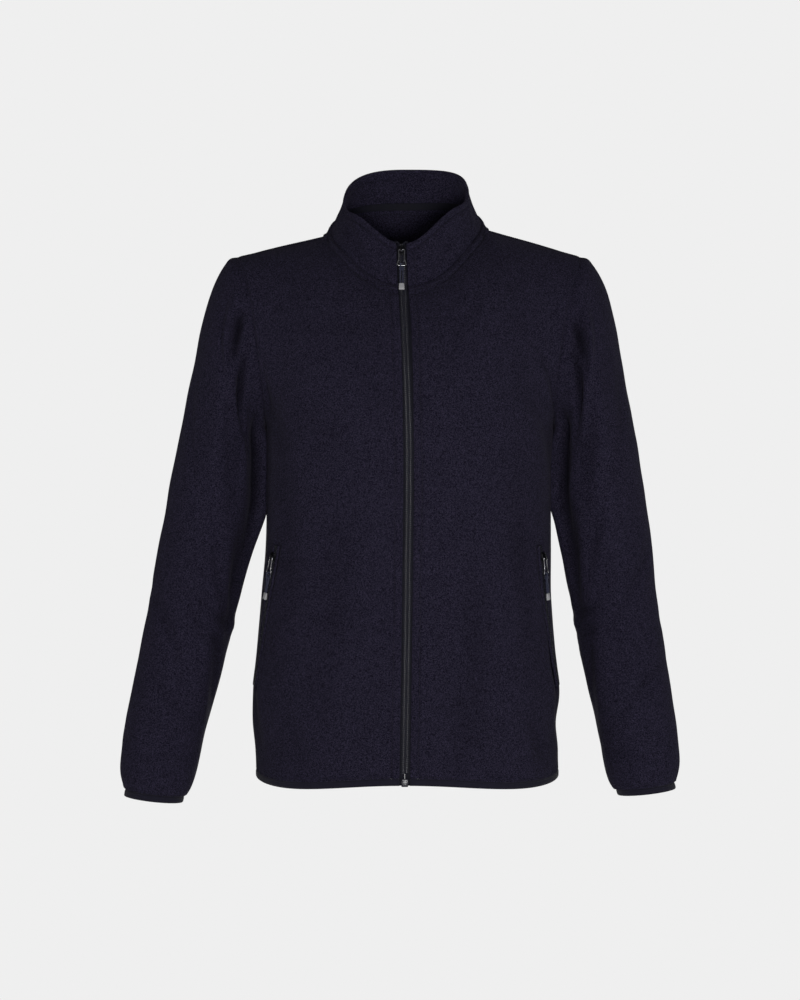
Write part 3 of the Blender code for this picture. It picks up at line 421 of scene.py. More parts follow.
CordBend = namedtuple("CordBend", "out down lift")
CORD_STRAND = [
    CordBend(1.3 * MM, 4.7 * MM, 0.9 * MM),
    CordBend(1.62 * MM, 12.1 * MM, 0.0),
    CordBend(1.3 * MM, CORD_LENGTH - CLEAR, 0.0),
]
CORD_WRAP_HALF = 1.05 * MM
TIP = Vector((6.6, 3.0, 8.0)) * MM
TIP_WAIST = 1.3
TIP_WAIST_SHARE = 0.90
TIP_TAPER = 0.12

# Stage
Lamp = namedtuple("Lamp", "name place size power")
LAMPS = [
    Lamp("Front", (0.20, -3.1, -0.85), 1.0, 62.0),
    Lamp("Side right", (-2.9, -0.95, -0.45), 1.2, 7.0),
    Lamp("Side left", (2.9, -0.95, -0.45), 1.2, 10.0),
    Lamp("Back left", (0.5, 3.1, -0.2), 1.2, 30.0),
    Lamp("Back right", (-0.5, 3.1, -0.2), 1.2, 30.0),
]
AMBIENT = 0.10
CAMERA_PLACE = (-0.007, -3.0, -0.312)
FOCAL_LENGTH = 92.3
SENSOR_WIDTH = 36.0
LAMPS_AIM = (0, 0, -0.3)
FLOOR_HEIGHT = -0.95
FLOOR_RADIUS = 30.0
FLOOR_PAINT = (0.6, 0.6, 0.6, 1.0)

FINE = 1.0 * MM
# The fold depth at which the painted shade in the cloth's colour is at its darkest
PAINTED_SHADE_DEPTH = 8.0 * MM
TURN = 6.2832

TREES = {}


def length_property(name, description, default, low, high):
    """A length a user can change, from numbers in millimetres."""
    return FloatProperty(
        name=name, description=description, default=default * MM, min=low * MM, max=high * MM,
        subtype="DISTANCE", unit="LENGTH",
    )


class JacketSizes(PropertyGroup):
    """Sizes a user would change."""

    cloth: length_property("Cloth thickness", "Thickness of the fleece wall", 2.0, 0.5, 4)
    collar_cloth: length_property(
        "Collar thickness", "Thickness of the doubled collar", 3.2, 1, 6
    )
    spacing: length_property(
        "Grid spacing", "Distance between the points of a cloth piece", 3.2, 2, 10
    )
    crease: FloatProperty(
        name="Crease strength", description="Factor on the depth of the finer creases",
        default=1.0, min=0.0, max=2.0, subtype="FACTOR",
    )
    seam_dip: length_property("Seam dip", "How far the cloth turns in at a seam", 0.9, 0, 2)
    stitch: length_property("Stitch length", "Length of one topstitch", 2.3, 1, 5)
    thread: length_property("Thread radius", "Radius of the sewing thread", 0.22, 0.1, 0.5)
    pitch: length_property("Zip pitch", "Distance from one coil turn to the next", 2.4, 1, 3)
    band_width: length_property(
        "Neck band width", "Width of the band sewn round the neck seam", 9.5, 5, 15
    )


def colour_property(name, description, default):
    """A colour a user can change."""
    return FloatVectorProperty(
        name=name, description=description, default=default, size=3, min=0.0, max=1.0,
        subtype="COLOR",
    )


class JacketColours(PropertyGroup):
    """Colours a user would change."""

    fleece: colour_property("Fleece", "Colour between the fibres", (0.0042, 0.0038, 0.0088))
    nap: colour_property("Nap", "Colour of the fibre ends", (0.049, 0.0425, 0.081))
    binding: colour_property("Binding", "Colour of the elastic binding", (0.0140, 0.0125, 0.0260))
    tape: colour_property("Zip tape", "Colour of the woven zip tape", (0.0080, 0.0078, 0.0160))
    coil: colour_property("Coil", "Colour of the nylon coil", (0.022, 0.022, 0.034))
    thread: colour_property("Thread", "Colour of the sewing thread", (0.0065, 0.0058, 0.012))
    metal: colour_property("Slider metal", "Colour of the sliders", (0.035, 0.035, 0.04))
    bright: colour_property("Bail metal", "Colour of the plated wire", (0.42, 0.42, 0.44))
    cord: colour_property("Puller cord", "Colour of the braided cord", (0.026, 0.030, 0.072))
    tip: colour_property("Puller tip", "Colour of the moulded tip", (0.50, 0.50, 0.52))
    floor: colour_property("Floor", "Colour of the floor and the backdrop", (0.863, 0.863, 0.863))


def sizes():
    return bpy.context.scene.jacket_sizes


def colours():
    return bpy.context.scene.jacket_colours


# The jacket's form


def hand(side):
    """The wearer's side as a word for a piece's name."""
    return "left" if side > 0 else "right"


def front_cloth(side):
    """The name of one front's cloth."""
    return "front_" + hand(side) + "_cloth"


def column(table, name):
    """One named column of a table of rows, as an array."""
    return np.array([getattr(row, name) for row in table], float)


def smooth_value(at, knots, values):
    """Values on a smooth curve through rising knots."""
    slopes = np.gradient(values, knots)
    i = np.clip(np.searchsorted(knots, at) - 1, 0, len(knots) - 2)
    step = knots[i + 1] - knots[i]
    t = np.clip((at - knots[i]) / step, 0.0, 1.0)
    start = (2 * t**3 - 3 * t**2 + 1) * values[i] + (t**3 - 2 * t**2 + t) * step * slopes[i]
    end = (-2 * t**3 + 3 * t**2) * values[i + 1] + (t**3 - t**2) * step * slopes[i + 1]
    return start + end


def table_value(table, name, at):
    """A column's values at heights, from a table whose heights rise."""
    return smooth_value(at, column(table, "height"), column(table, name))


def stacked(x, y, z):
    """Points from their coordinates."""
    return np.stack(np.broadcast_arrays(x, y, z), axis=-1).astype(float)


def fold_depth(folds, around, along):
    """How far the solids' folds move the cloth out."""
    total = np.zeros(np.broadcast(around, along).shape)
    for fold in map(Fold._make, folds):
        b = along - fold.along
        across = around - fold.around - b * fold.turn * fold.across_reach / fold.along_reach
        spread_out = (across / fold.across_reach) ** 2 + (b / fold.along_reach) ** 2
        total += fold.depth * MM * np.exp(-spread_out)
    return total


def oval_point(oval, angle, side):
    """Points on the neck seam or the rim, for x over 0; the angle runs from front to back."""
    middle = (oval.back - oval.front) / 2
    reach = (oval.back + oval.front) / 2
    height = (oval.back_height + oval.front_height) / 2
    rise = (oval.back_height - oval.front_height) / 2
    lift = oval.side_lift + np.where(np.asarray(side) > 0, oval.left_lift, 0.0)
    x = oval.half_width * np.maximum(0.0, np.sin(angle)) ** oval.squareness
    z = height - rise * np.cos(angle) + lift * np.sin(angle) ** 2
    return stacked(x, middle - reach * np.cos(angle), z)


def vee_lift(vee, angle):
    """How far a V at the front lifts the neck seam or the rim."""
    lift = vee.lift * np.sin(np.pi * np.minimum(1.0, angle / vee.end) ** vee.lean) ** 2
    return stacked(0.0, 0.0, lift)


def neck_point(angle, side):
    """Points on the neck seam, for x over 0."""
    return oval_point(NECK, angle, side) + vee_lift(NECK_VEE, angle)


def rim_point(angle, side):
    """Points on the collar's rim, for x over 0."""
    on_left = np.asarray(side)[..., None] > 0
    lift = np.where(on_left, vee_lift(RIM_VEE[1], angle), vee_lift(RIM_VEE[-1], angle))
    return oval_point(RIM, angle, side) + lift


def zip_offset(height):
    """How far the front zip wanders to the wearer's left."""
    return table_value(ZIP_WAVE, "offset", height)


def front_edge(height, side):
    """The distance of a front's zip edge from the middle plane."""
    return ZIP_GAP + side * zip_offset(height)


def hem_height(share):
    """The height of the cloth's lower edge, which dips between the zip and the side seams."""
    return HEM - HEM_DIP * np.sin(np.pi * np.clip(share, 0.0, 1.0)) ** HEM_DIP_SPREAD


def level_point(height, share, side, face):
    """Points on the torso below the underarm, for x over 0."""
    half = table_value(BODY, "half_width", height)
    if side > 0:
        half = half + table_value(BODY, "left_more", height)
    depth = table_value(BODY, face, height)
    inner = front_edge(height, side) if face == "front" else 0.0
    turn = np.sin(share * np.pi / 2) ** (2 / BODY_SQUARENESS)
    x = inner + (half - inner) * turn
    y = depth * np.maximum(0.0, 1 - (x / half) ** BODY_SQUARENESS) ** (1 / BODY_SQUARENESS)
    return stacked(x, -y if face == "front" else y, height)


def shoulder_point(side):
    """Where the shoulder seam meets the armhole, for x over 0."""
    return SHOULDER_POINT + (ARMHOLE[-1].left_more if side > 0 else 0.0, 0.0, 0.0)


def collar_start(side):
    """The angle at which the neck seam meets the zip edge."""
    return np.arcsin(front_edge(NECK.front_height, side) / NECK.half_width)


def top_point(share, side, face):
    """Points on a panel's upper edge: along the neck seam, then the shoulder seam."""
    neck_share = FRONT_NECK_SHARE if face == "front" else BACK_NECK_SHARE
    corner = neck_point(SEAM_ANGLE, side)
    t = ((share - neck_share) / (1 - neck_share))[..., None]
    seam = corner + (shoulder_point(side) - corner) * t
    start = np.pi if face == "back" else collar_start(side)
    neck = neck_point(start + (SEAM_ANGLE - start) * share / neck_share, side)
    return np.where((share >= neck_share)[..., None], seam, neck)


def armhole_point(rise, side, face):
    """Points on the armhole; rise runs from the underarm to the shoulder point."""
    middle = (UNDERARM + SHOULDER_POINT[2]) / 2
    reach = (SHOULDER_POINT[2] - UNDERARM) / 2
    z = middle - reach * np.cos(np.pi * rise)
    x = table_value(ARMHOLE, face, z)
    if side > 0:
        x = x + table_value(ARMHOLE, "left_more", z)
    swell = np.sin(np.pi * rise)
    y = SHOULDER_POINT[1] * rise + (ARMHOLE_BACK if face == "back" else -ARMHOLE_FRONT) * swell
    return stacked(x, y, z)


def rising_column(share, rise, side, face):
    """Columns that leave the chest upright and turn in to the panel's upper edge."""
    low = level_point(np.full_like(share, UNDERARM), share, side, face)
    high = top_point(share, side, face)
    angles = FRONT_TURN if face == "front" else BACK_TURN
    fullness = FRONT_FULLNESS if face == "front" else BACK_FULLNESS
    neck_share = FRONT_NECK_SHARE if face == "front" else BACK_NECK_SHARE
    end = np.radians(np.interp(share, [0, neck_share, 1], angles))
    lift = np.sin(rise * end) / np.sin(end)
    reach = (1 - np.cos(rise * end)) / (1 - np.cos(end))
    reach = reach ** np.interp(share, [0, neck_share], [1, fullness])
    x = low[..., 0] + (high[..., 0] - low[..., 0]) * rise**2
    y = low[..., 1] + (high[..., 1] - low[..., 1]) * reach
    z = low[..., 2] + (high[..., 2] - low[..., 2]) * lift
    return stacked(x, y, z)


def panel_point(share, row, side, face):
    """Points on a front or on half of the back; row counts up from the hem."""
    share, row = np.broadcast_arrays(np.asarray(share, float), np.asarray(row, float))
    low = hem_height(share)
    height = low + (UNDERARM - low) * np.minimum(row, HEM_ROWS) / HEM_ROWS
    below = level_point(height, share, side, face)
    rise = np.clip((row - HEM_ROWS) / CHEST_ROWS, 0.0, 1.0)
    edge = rising_column(np.ones_like(share), rise, side, face)
    pull = armhole_point(rise, side, face) - edge
    above = rising_column(share, rise, side, face) + (share**ARMHOLE_PULL)[..., None] * pull
    point = np.where((row <= HEM_ROWS)[..., None], below, above)
    along = row / (HEM_ROWS + CHEST_ROWS)
    fade = np.sin(np.pi * np.minimum(share, 1.0)) * np.sin(np.pi * along)
    fold = fold_depth(BODY_FOLDS, share, along) * fade
    point[..., 1] += fold if face == "back" else -fold
    return point * (side, 1, 1)


def sleeve_value(name, step):
    """A sleeve ring's size down the sleeve, counted in rings."""
    return smooth_value(step, np.arange(len(SLEEVE), dtype=float), column(SLEEVE, name))


def ring_ends(step, side):
    """The outer and the inner ends of a sleeve ring's width, each as x and height."""
    longer = LEFT_SLEEVE_LONGER if side > 0 else RIGHT_SLEEVE_LONGER
    drop = longer * (step / (len(SLEEVE) - 1)) ** 2
    ends = []
    for end in ("outer", "inner"):
        x = sleeve_value(end + "_x", step)
        if side > 0:
            x = x + sleeve_value("left_" + end, step)
        ends.append((x, sleeve_value(end + "_z", step) - drop))
    return ends


def sleeve_point(turn, step, side):
    """Points on a sleeve; turn runs once round from the top, by the front and the underarm."""
    turn, step = np.broadcast_arrays(np.asarray(turn, float) % 1.0, np.asarray(step, float))
    front = turn <= 0.5
    rise = np.abs(1 - 2 * turn)
    across = np.cos(np.pi * (1 - rise))
    around = np.sin(np.pi * rise) * np.where(front, -1, 1)
    seams = [armhole_point(rise, side, face) for face in ("front", "back")]
    seam = np.where(front[..., None], *seams)
    (top_x, _), (under_x, _) = ring_ends(np.zeros_like(step), side)
    flat_x = (top_x + under_x) / 2 + (top_x - under_x) / 2 * across
    (outer_x, outer_z), (inner_x, inner_z) = ring_ends(step, side)
    x = (outer_x + inner_x) / 2 + (outer_x - inner_x) / 2 * across
    z = (outer_z + inner_z) / 2 + (outer_z - inner_z) / 2 * across
    x = x + (seam[..., 0] - flat_x) * sleeve_value("scoop", step)
    y = sleeve_value("middle_y", step) + sleeve_value("half_depth", step) * around
    along = step / (len(SLEEVE) - 1)
    fold = fold_depth(SLEEVE_FOLDS, turn, along) * np.sin(np.pi * along)
    swing = np.interp(-z, [-SWING_START, -SWING_END], [0, SWING])
    form = stacked(side * (x + fold * across) - swing, y + fold * around, z)
    return np.where((step <= 0)[..., None], seam * (side, 1, 1), form)


def collar_form(angle, rise, side):
    """Points on the collar's plain form, from the neck seam up to the rim."""
    low = neck_point(angle, side)
    high = rim_point(angle, side)
    out = stacked(np.sin(angle), -np.cos(angle), 0.0)
    bulge = (COLLAR_BULGE - COLLAR_SIDE_HOLLOW * np.sin(angle) ** 2) * np.sin(np.pi * rise)
    point = low + (high - low) * rise[..., None] + out * bulge[..., None]
    return point * stacked(side, 1.0, 1.0)


def collar_point(place, rise):
    """Points on the collar; place runs from the wearer's left zip edge round to the right one."""
    place, rise = np.broadcast_arrays(np.asarray(place, float), np.asarray(rise, float))
    side = np.where(place <= 0.5, 1.0, -1.0)
    start = np.where(side > 0, collar_start(1), collar_start(-1))
    angle = np.pi + (start - np.pi) * np.abs(2 * place - 1)
    end = collar_form(start, rise, side)
    shift = side * front_edge(end[..., 2], side) - end[..., 0]
    fade = np.maximum(0.0, 1 - np.abs(angle - start) / COLLAR_FADE) ** 2
    point = collar_form(angle, rise, side)
    point[..., 0] += shift * fade
    return point


# Cloth pieces


def stations(span):
    """Places from 0 to 1 along a span, closer together near its two ends."""
    x = np.linspace(0, span.length, 4001)
    apart = np.minimum(x - span.low, span.length - x - span.high) / (10 * MM)
    gap = FINE + (sizes().spacing - FINE) * np.clip(apart, 0.0, 1.0)
    run = np.concatenate([[0], np.cumsum(np.diff(x) * 2 / (gap[1:] + gap[:-1]))])
    return np.interp(np.linspace(0, run[-1], int(round(run[-1])) + 1), run, x / span.length)


def eased(points, rounds):
    """Points smoothed over their grid, with the edges kept."""
    for _ in range(rounds):
        middle = points[1:-1, 1:-1]
        ring = points[:-2, 1:-1] + points[2:, 1:-1] + points[1:-1, :-2] + points[1:-1, 2:]
        points[1:-1, 1:-1] = middle / 2 + ring / 8
    return points


def grid_normals(points, centre, closed=False):
    """Unit normals that point away from centre, a line of points or one point."""
    if closed:
        wrapped = np.concatenate([points[:, -2:-1], points, points[:, 1:2]], axis=1)
        across = np.gradient(wrapped, axis=1)[:, 1:-1]
    else:
        across = np.gradient(points, axis=1)
    normals = np.cross(across, np.gradient(points, axis=0))
    length = np.linalg.norm(normals, axis=2, keepdims=True)
    normals = normals / np.maximum(length, 1e-12)
    facing = np.sum(normals * (points - centre))
    return normals if facing > 0 else -normals


def edge_distances(points):
    """The distance along the cloth of each point from the piece's four edges."""
    across = np.linalg.norm(np.diff(points, axis=1), axis=2)
    across = np.concatenate([np.zeros((len(points), 1)), np.cumsum(across, axis=1)], axis=1)
    along = np.linalg.norm(np.diff(points, axis=0), axis=2)
    along = np.concatenate([np.zeros((1, points.shape[1])), np.cumsum(along, axis=0)], axis=0)
    return across, across[:, -1:] - across, along, along[-1:] - along


def bump(distance, reach):
    """A soft bump, 1 at no distance."""
    return np.exp(-((distance / reach) ** 2))


def furrowed(distance, furrow):
    """The relief of one furrow or ridge, by the distance from its edge."""
    return furrow.rise * MM * bump(distance - furrow.away * MM, furrow.reach * MM)


def calm(edges, reach):
    """A factor that fades the creases near a piece's edges."""
    nearest = edges[0]
    for edge in edges[1:]:
        nearest = np.minimum(nearest, edge)
    return 1 - bump(nearest, reach)


def crease_relief(creases, points, wrap=False):
    """The relief of finer creases; each has a soft ridge beside its trough."""
    left, right, low, high = edge_distances(points)
    width = left + right
    height = low + high
    total = np.zeros(left.shape)
    for crease in map(Crease._make, creases):
        s = left - crease.around * width
        if wrap:
            s = (s + width / 2) % width - width / 2
        t = low - crease.along * height
        angle = math.radians(crease.angle)
        length, reach = crease.length * MM, crease.width * MM
        p = s * math.cos(angle) + t * math.sin(angle)
        q = -s * math.sin(angle) + t * math.cos(angle) + crease.bow * p**2 / length
        profile = np.exp(-((q / reach) ** 2)) - 0.5 * np.exp(-((q / reach - 1.7) ** 2))
        total += crease.depth * MM * np.exp(-((p / length) ** 2)) * profile
    return total * sizes().crease


def slack(points, phase):
    """A low, uneven waviness such as soft cloth has."""
    x, y, z = points[..., 0], points[..., 1], points[..., 2]
    wave = np.sin(41 * x + 27 * z + phase) * np.sin(33 * z - 19 * y + 2.1 * phase)
    wave += 0.6 * np.sin(77 * x - 58 * z + 1.7 * phase) * np.sin(49 * y + 66 * z + phase)
    return 0.55 * MM * wave


def puckers(distance, around, phase):
    """Small gathers that an elastic binding pulls into the cloth's edge."""
    wave = np.sin(around / (2.0 * MM) + 1.3 * np.sin(around / (11 * MM) + phase))
    return 0.45 * MM * wave * bump(distance, 9 * MM)


def painted_shade_mask(relief):
    """How deep each point lies in a fold, from 0 to 1: a mask for painted shade that darkens the
    cloth's colour in folds.
    """
    return np.clip(-relief / PAINTED_SHADE_DEPTH, 0, 1)


def linked(name, mesh, closed_normals=False):
    """An object in the scene from an editing mesh."""
    if closed_normals:
        bmesh.ops.recalc_face_normals(mesh, faces=mesh.faces)
    data = bpy.data.meshes.new(name)
    mesh.to_mesh(data)
    mesh.free()
    data.shade_smooth()
    piece = bpy.data.objects.new(name, data)
    bpy.context.scene.collection.objects.link(piece)
    return piece


def grid_mesh(points, outward, closed=False, uv=None, hollow=None):
    """A grid of placed points, its faces along outward, with UVs and a mask of painted fold shade
    where given.
    """
    rows, columns = points.shape[0] - 1, points.shape[1] - 1
    mesh = bmesh.new()
    layer = mesh.loops.layers.uv.new("UVMap")
    painted_shade_attribute = mesh.verts.layers.float.new("hollow")
    bmesh.ops.create_grid(mesh, x_segments=columns, y_segments=rows, size=0.5)
    start = np.array([vert.co[:2] for vert in mesh.verts])
    span = start.max(axis=0) - start.min(axis=0)
    place = np.rint((start - start.min(axis=0)) / span * (columns, rows)).astype(int)
    for vert, (i, j) in zip(mesh.verts, place):
        vert.co = points[j, i]
        if hollow is not None:
            vert[painted_shade_attribute] = hollow[j, i]
    if uv is not None:
        for face in mesh.faces:
            for loop in face.loops:
                i, j = place[loop.vert.index]
                loop[layer].uv = (uv[0][i], uv[1][j])
    mesh.normal_update()
    facing = 0.0
    for face in list(mesh.faces)[:: max(1, len(mesh.faces) // 400)]:
        i, j = place[face.verts[0].index]
        facing += face.normal.dot(Vector(outward[j, i]))
    if facing < 0:
        bmesh.ops.reverse_faces(mesh, faces=mesh.faces)
    if closed:
        bmesh.ops.remove_doubles(mesh, verts=mesh.verts, dist=0.01 * MM)
    return mesh


def walled(piece, thickness, rounding, segments=2):
    """Gives a sheet its wall, inwards, with rounded edges."""
    solid = piece.modifiers.new("Wall", "SOLIDIFY")
    solid.thickness = thickness
    solid.offset = -1.0
    solid.use_even_offset = False
    if rounding > 0:
        edge = piece.modifiers.new("Rounded edges", "BEVEL")
        edge.width = rounding
        edge.segments = segments
        edge.limit_method = "ANGLE"
        edge.angle_limit = math.radians(55)
        edge.harden_normals = False


def cloth_piece(node, points, normals, relief, closed=False):
    """One piece of fleece with its relief, which rides on the jacket and stands for its solid."""
    name = node + "_cloth"
    points = points + normals * relief[..., None]
    if closed:
        points[:, -1] = points[:, 0]
    # Painted shade: the deeper the fold, the darker the cloth's colour
    mesh = grid_mesh(points, normals, closed, hollow=painted_shade_mask(relief))
    TREES[name] = BVHTree.FromBMesh(mesh)
    piece = linked(name, mesh)
    walled(piece, sizes().cloth, 0.7 * MM)
    finish(piece, "fleece", [node])
    return piece


def finish(piece, material, nodes=(), body=JACKET):
    """Gives a piece its material, its body and the solids it stands for."""
    piece.data.materials.clear()
    piece.data.materials.append(materials()[material])
    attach(piece, body)
    if nodes:
        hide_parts(*nodes)


def pocket_line(side):
    """Points up a pocket zip, with the outward and the forward direction at each."""
    t = np.linspace(0, 1, POCKET_STATIONS + 1)
    height = POCKET_BOTTOM.height + (POCKET_TOP.height - POCKET_BOTTOM.height) * t
    share = POCKET_BOTTOM.share + (POCKET_TOP.share - POCKET_BOTTOM.share) * t
    low = hem_height(share)
    row = HEM_ROWS * (height - low) / (UNDERARM - low)
    nudge = 0.01
    point = panel_point(share, row, side, "front")
    forward = panel_point(share - nudge, row, side, "front") - point
    up = panel_point(share, row + nudge * HEM_ROWS, side, "front") - point
    out = np.cross(up, forward) * side
    return point, unit(out), unit(forward)


def unit(vectors):
    """Vectors made one long."""
    return vectors / np.linalg.norm(vectors, axis=-1, keepdims=True)


def line_distance(points, line):
    """The distance of each point from a line of points."""
    near = np.full(points.shape[:2], np.inf)
    for spot in line:
        near = np.minimum(near, np.linalg.norm(points - spot, axis=2))
    return near


def seam_dips(side_seam, top, neck):
    """How far a panel turns in at its side seam and, where neck is 1, at the neck seam."""
    at_neck = NECK_SEAM_SHARE * bump(top, NECK_SEAM_REACH) * neck
    return sizes().seam_dip * (bump(side_seam, SEAM_REACH) + at_neck)


def front_piece(side):
    """One front, with its folds, its pocket's recess and its turned-in edges."""
    name = "front_" + hand(side)
    share = stations(FRONT_ACROSS)
    row = stations(FRONT_UP) * (HEM_ROWS + CHEST_ROWS)
    points = panel_point(share[None, :], row[:, None], side, "front")
    points = eased(points, 4)
    normals = grid_normals(points, np.array([0, 0, -0.3]))
    zip_side, side_seam, hem, top = edge_distances(points)
    inside = calm((zip_side, side_seam, hem, top), EDGE_CALM)
    relief = (crease_relief(FRONT_CREASES[side], points) + slack(points, side)) * inside
    neck = np.clip((FRONT_NECK_SHARE - share) / NECK_FADE, 0, 1)[None, :]
    forward = SEAM_FORWARD * np.clip((1 - share) / (1 - FRONT_NECK_SHARE), 0, 1)[None, :]
    relief += furrowed(top - sizes().band_width, BAND_FURROW) * neck
    relief += furrowed(top - forward, SHOULDER_FURROW) * (1 - neck)
    relief += furrowed(top - forward, SHOULDER_RIDGE) * (1 - neck)
    relief -= seam_dips(side_seam, top, neck)
    relief += furrowed(zip_side, ZIP_FURROW) + furrowed(zip_side, ZIP_EDGE)
    relief += puckers(hem, zip_side, side)
    line, _, _ = pocket_line(side)
    distance = line_distance(points, line)
    relief += furrowed(distance, POCKET_RECESS)
    relief += furrowed(distance, POCKET_RIDGE)
    return cloth_piece(name, points, normals, relief)


def back_piece():
    """The back, with its folds and its turned-in edges."""
    place = stations(BACK_ACROSS)
    row = stations(BACK_UP) * (HEM_ROWS + CHEST_ROWS)
    share = np.abs(1 - 2 * place)
    left = panel_point(share[None, :], row[:, None], 1, "back")
    right = panel_point(share[None, :], row[:, None], -1, "back")
    points = np.where((place < 0.5)[None, :, None], left, right)
    points = eased(points, 4)
    normals = grid_normals(points, np.array([0, 0, -0.3]))
    one_side, other_side, hem, top = edge_distances(points)
    sides = np.minimum(one_side, other_side)
    inside = calm((sides, hem, top), EDGE_CALM)
    relief = (crease_relief(BACK_CREASES, points) + slack(points, 3.0)) * inside
    neck = np.clip((BACK_NECK_SHARE - share) / NECK_FADE, 0, 1)[None, :]
    relief -= seam_dips(sides, top, neck)
    relief += puckers(hem, one_side, 0.4)
    return cloth_piece("back", points, normals, relief)


def sleeve_piece(side):
    """One sleeve, seamed along the underarm."""
    place = stations(SLEEVE_ROUND)
    down = stations(SLEEVE_DOWN)
    turn = (0.5 - side * place) % 1.0
    turn[0] = turn[-1] = 0.5
    step = down**SLEEVE_CROWDING * (len(SLEEVE) - 1)
    points = sleeve_point(turn[None, :], step[:, None], side)
    points[:, -1] = points[:, 0]
    points = eased(points, 3)
    centre = points.mean(axis=1, keepdims=True)
    normals = grid_normals(points, centre, closed=True)
    one_side, other_side, armhole, cuff = edge_distances(points)
    seam = np.minimum(one_side, other_side)
    inside = calm((cuff, armhole), SLEEVE_CALM)
    creases = crease_relief(SLEEVE_CREASES[side], points, wrap=True)
    relief = (creases + slack(points, 5 + side)) * inside
    at_seam = SLEEVE_SEAM_SHARE * bump(seam, SLEEVE_SEAM_REACH)
    relief -= sizes().seam_dip * (bump(armhole, SEAM_REACH) + at_seam)
    crown = np.minimum(turn, 1 - turn)[None, :]
    relief += furrowed(armhole, CROWN_RIDGE) * bump(crown, CROWN_REACH)
    relief += CUFF_PUCKER_SHARE * puckers(cuff, one_side, 1.0 + side)
    under = np.abs(turn - 0.5)[None, :]
    reach = np.clip(armhole / (4 * MM), 0, 1) * bump(armhole - 40 * MM, 62 * MM)
    relief += UNDERARM_FULLNESS * bump(under, UNDERARM_REACH) * reach
    relief[:, -1] = relief[:, 0]
    return cloth_piece("sleeve_" + hand(side), points, normals, relief, closed=True)


def collar_piece():
    """The doubled stand collar."""
    place = stations(COLLAR_ROUND)
    rise = stations(COLLAR_UP)
    points = collar_point(place[None, :], rise[:, None])
    points = eased(points, 2)
    normals = grid_normals(points, np.zeros(3))
    left, right, seam, rim = edge_distances(points)
    inside = calm((left, right, seam, rim), COLLAR_CALM)
    relief = crease_relief(COLLAR_CREASES, points) * inside
    relief += furrowed(seam, COLLAR_SEAM) + furrowed(rim, COLLAR_FURROW)
    relief += furrowed(np.minimum(left, right), COLLAR_END_FURROW)
    relief += furrowed(rim, COLLAR_RIDGE)
    points = points + normals * relief[..., None]
    mesh = grid_mesh(points, normals)
    TREES["collar_cloth"] = BVHTree.FromBMesh(mesh)
    piece = linked("collar_cloth", mesh)
    walled(piece, sizes().collar_cloth, 1.2 * MM, 3)
    finish(piece, "fleece", ["collar"])
    return piece


# Swept and laid pieces


def swept(name, centres, wide, high, half_width, half_height, sides, closed=False, square=1.0,
          uv_scale=None, scale=None):
    """A tube along a line of points, with its width along wide and its height along high."""
    turn = np.linspace(0, 2 * np.pi, sides + 1)
    cos = np.sign(np.cos(turn)) * np.abs(np.cos(turn)) ** square
    sin = np.sign(np.sin(turn)) * np.abs(np.sin(turn)) ** square
    if scale is None:
        scale = np.ones((len(centres), sides + 1))
    reach = scale[..., None]
    across = wide[:, None, :] * (cos * half_width)[None, :, None]
    up = high[:, None, :] * (sin * half_height)[None, :, None]
    outward = across + up
    points = centres[:, None, :] + outward * reach
    points[:, -1] = points[:, 0]
    if closed:
        points = np.concatenate([points, points[:1]])
        outward = np.concatenate([outward, outward[:1]])
    uv = None
    if uv_scale is not None:
        girth = 2 * (half_width + half_height)
        length = running_length(points.mean(axis=1))
        uv = (turn / (2 * np.pi) * girth * uv_scale, length * uv_scale)
    mesh = grid_mesh(points, outward, closed=True, uv=uv)
    if not closed:
        bmesh.ops.holes_fill(mesh, edges=[edge for edge in mesh.edges if edge.is_boundary])
    return linked(name, mesh, closed_normals=True)


def smooth_line(knots, count, closed=False):
    """A smooth line through knots, with points evenly spaced along it."""
    knots = np.array([tuple(knot) for knot in knots], float)
    if closed:
        knots = np.concatenate([knots[-3:], knots, knots[:3]])
    steps = np.linalg.norm(np.diff(knots, axis=0), axis=1)
    at = np.concatenate([[0], np.cumsum(np.sqrt(steps))])
    low, high = (at[3], at[-3]) if closed else (at[0], at[-1])
    fine = np.linspace(low, high, count * 8 + 1)
    dense = np.stack([smooth_value(fine, at, knots[:, k]) for k in range(3)], axis=1)
    run = running_length(dense)
    line = along_line(np.linspace(0, run[-1], count + 1), run, dense)
    return line[:-1] if closed else line


def line_frames(line, up, closed=False):
    """Directions across and above a line, square to it."""
    if closed:
        around = np.concatenate([line[-1:], line, line[:1]])
        along = unit((around[2:] - around[:-2]))
    else:
        along = unit(np.gradient(line, axis=0))
    up = np.broadcast_to(np.asarray(up, float), line.shape)
    across = unit(np.cross(along, up))
    return across, np.cross(across, along)


def laid(points, trees):
    """Points moved on to the nearest cloth, with the cloth's outward normals there."""
    places = []
    normals = []
    for point in points:
        best = None
        for name in trees:
            found = TREES[name].find_nearest(Vector(point))
            if found[0] is not None and (best is None or found[3] < best[3]):
                best = found
        places.append(best[0])
        normals.append(best[1])
    return np.array(places), np.array(normals)


def running_length(line):
    """How far along a line each of its points lies."""
    return np.concatenate([[0], np.cumsum(np.linalg.norm(np.diff(line, axis=0), axis=1))])


def along_line(at, run, values):
    """Values of a line at given distances along it."""
    return np.stack([np.interp(at, run, values[:, k]) for k in range(3)], axis=1)


def respaced(points, normals, pitch):
    """Evenly spaced places along a line, with the normal and the direction at each."""
    run = running_length(points)
    count = max(1, int(run[-1] / pitch))
    even = (np.arange(count) + 0.5) * run[-1] / count
    place = along_line(even, run, points)
    normal = unit(along_line(even, run, normals))
    ahead = along_line(even + pitch / 4, run, points)
    behind = along_line(even - pitch / 4, run, points)
    return place, normal, unit(ahead - behind)


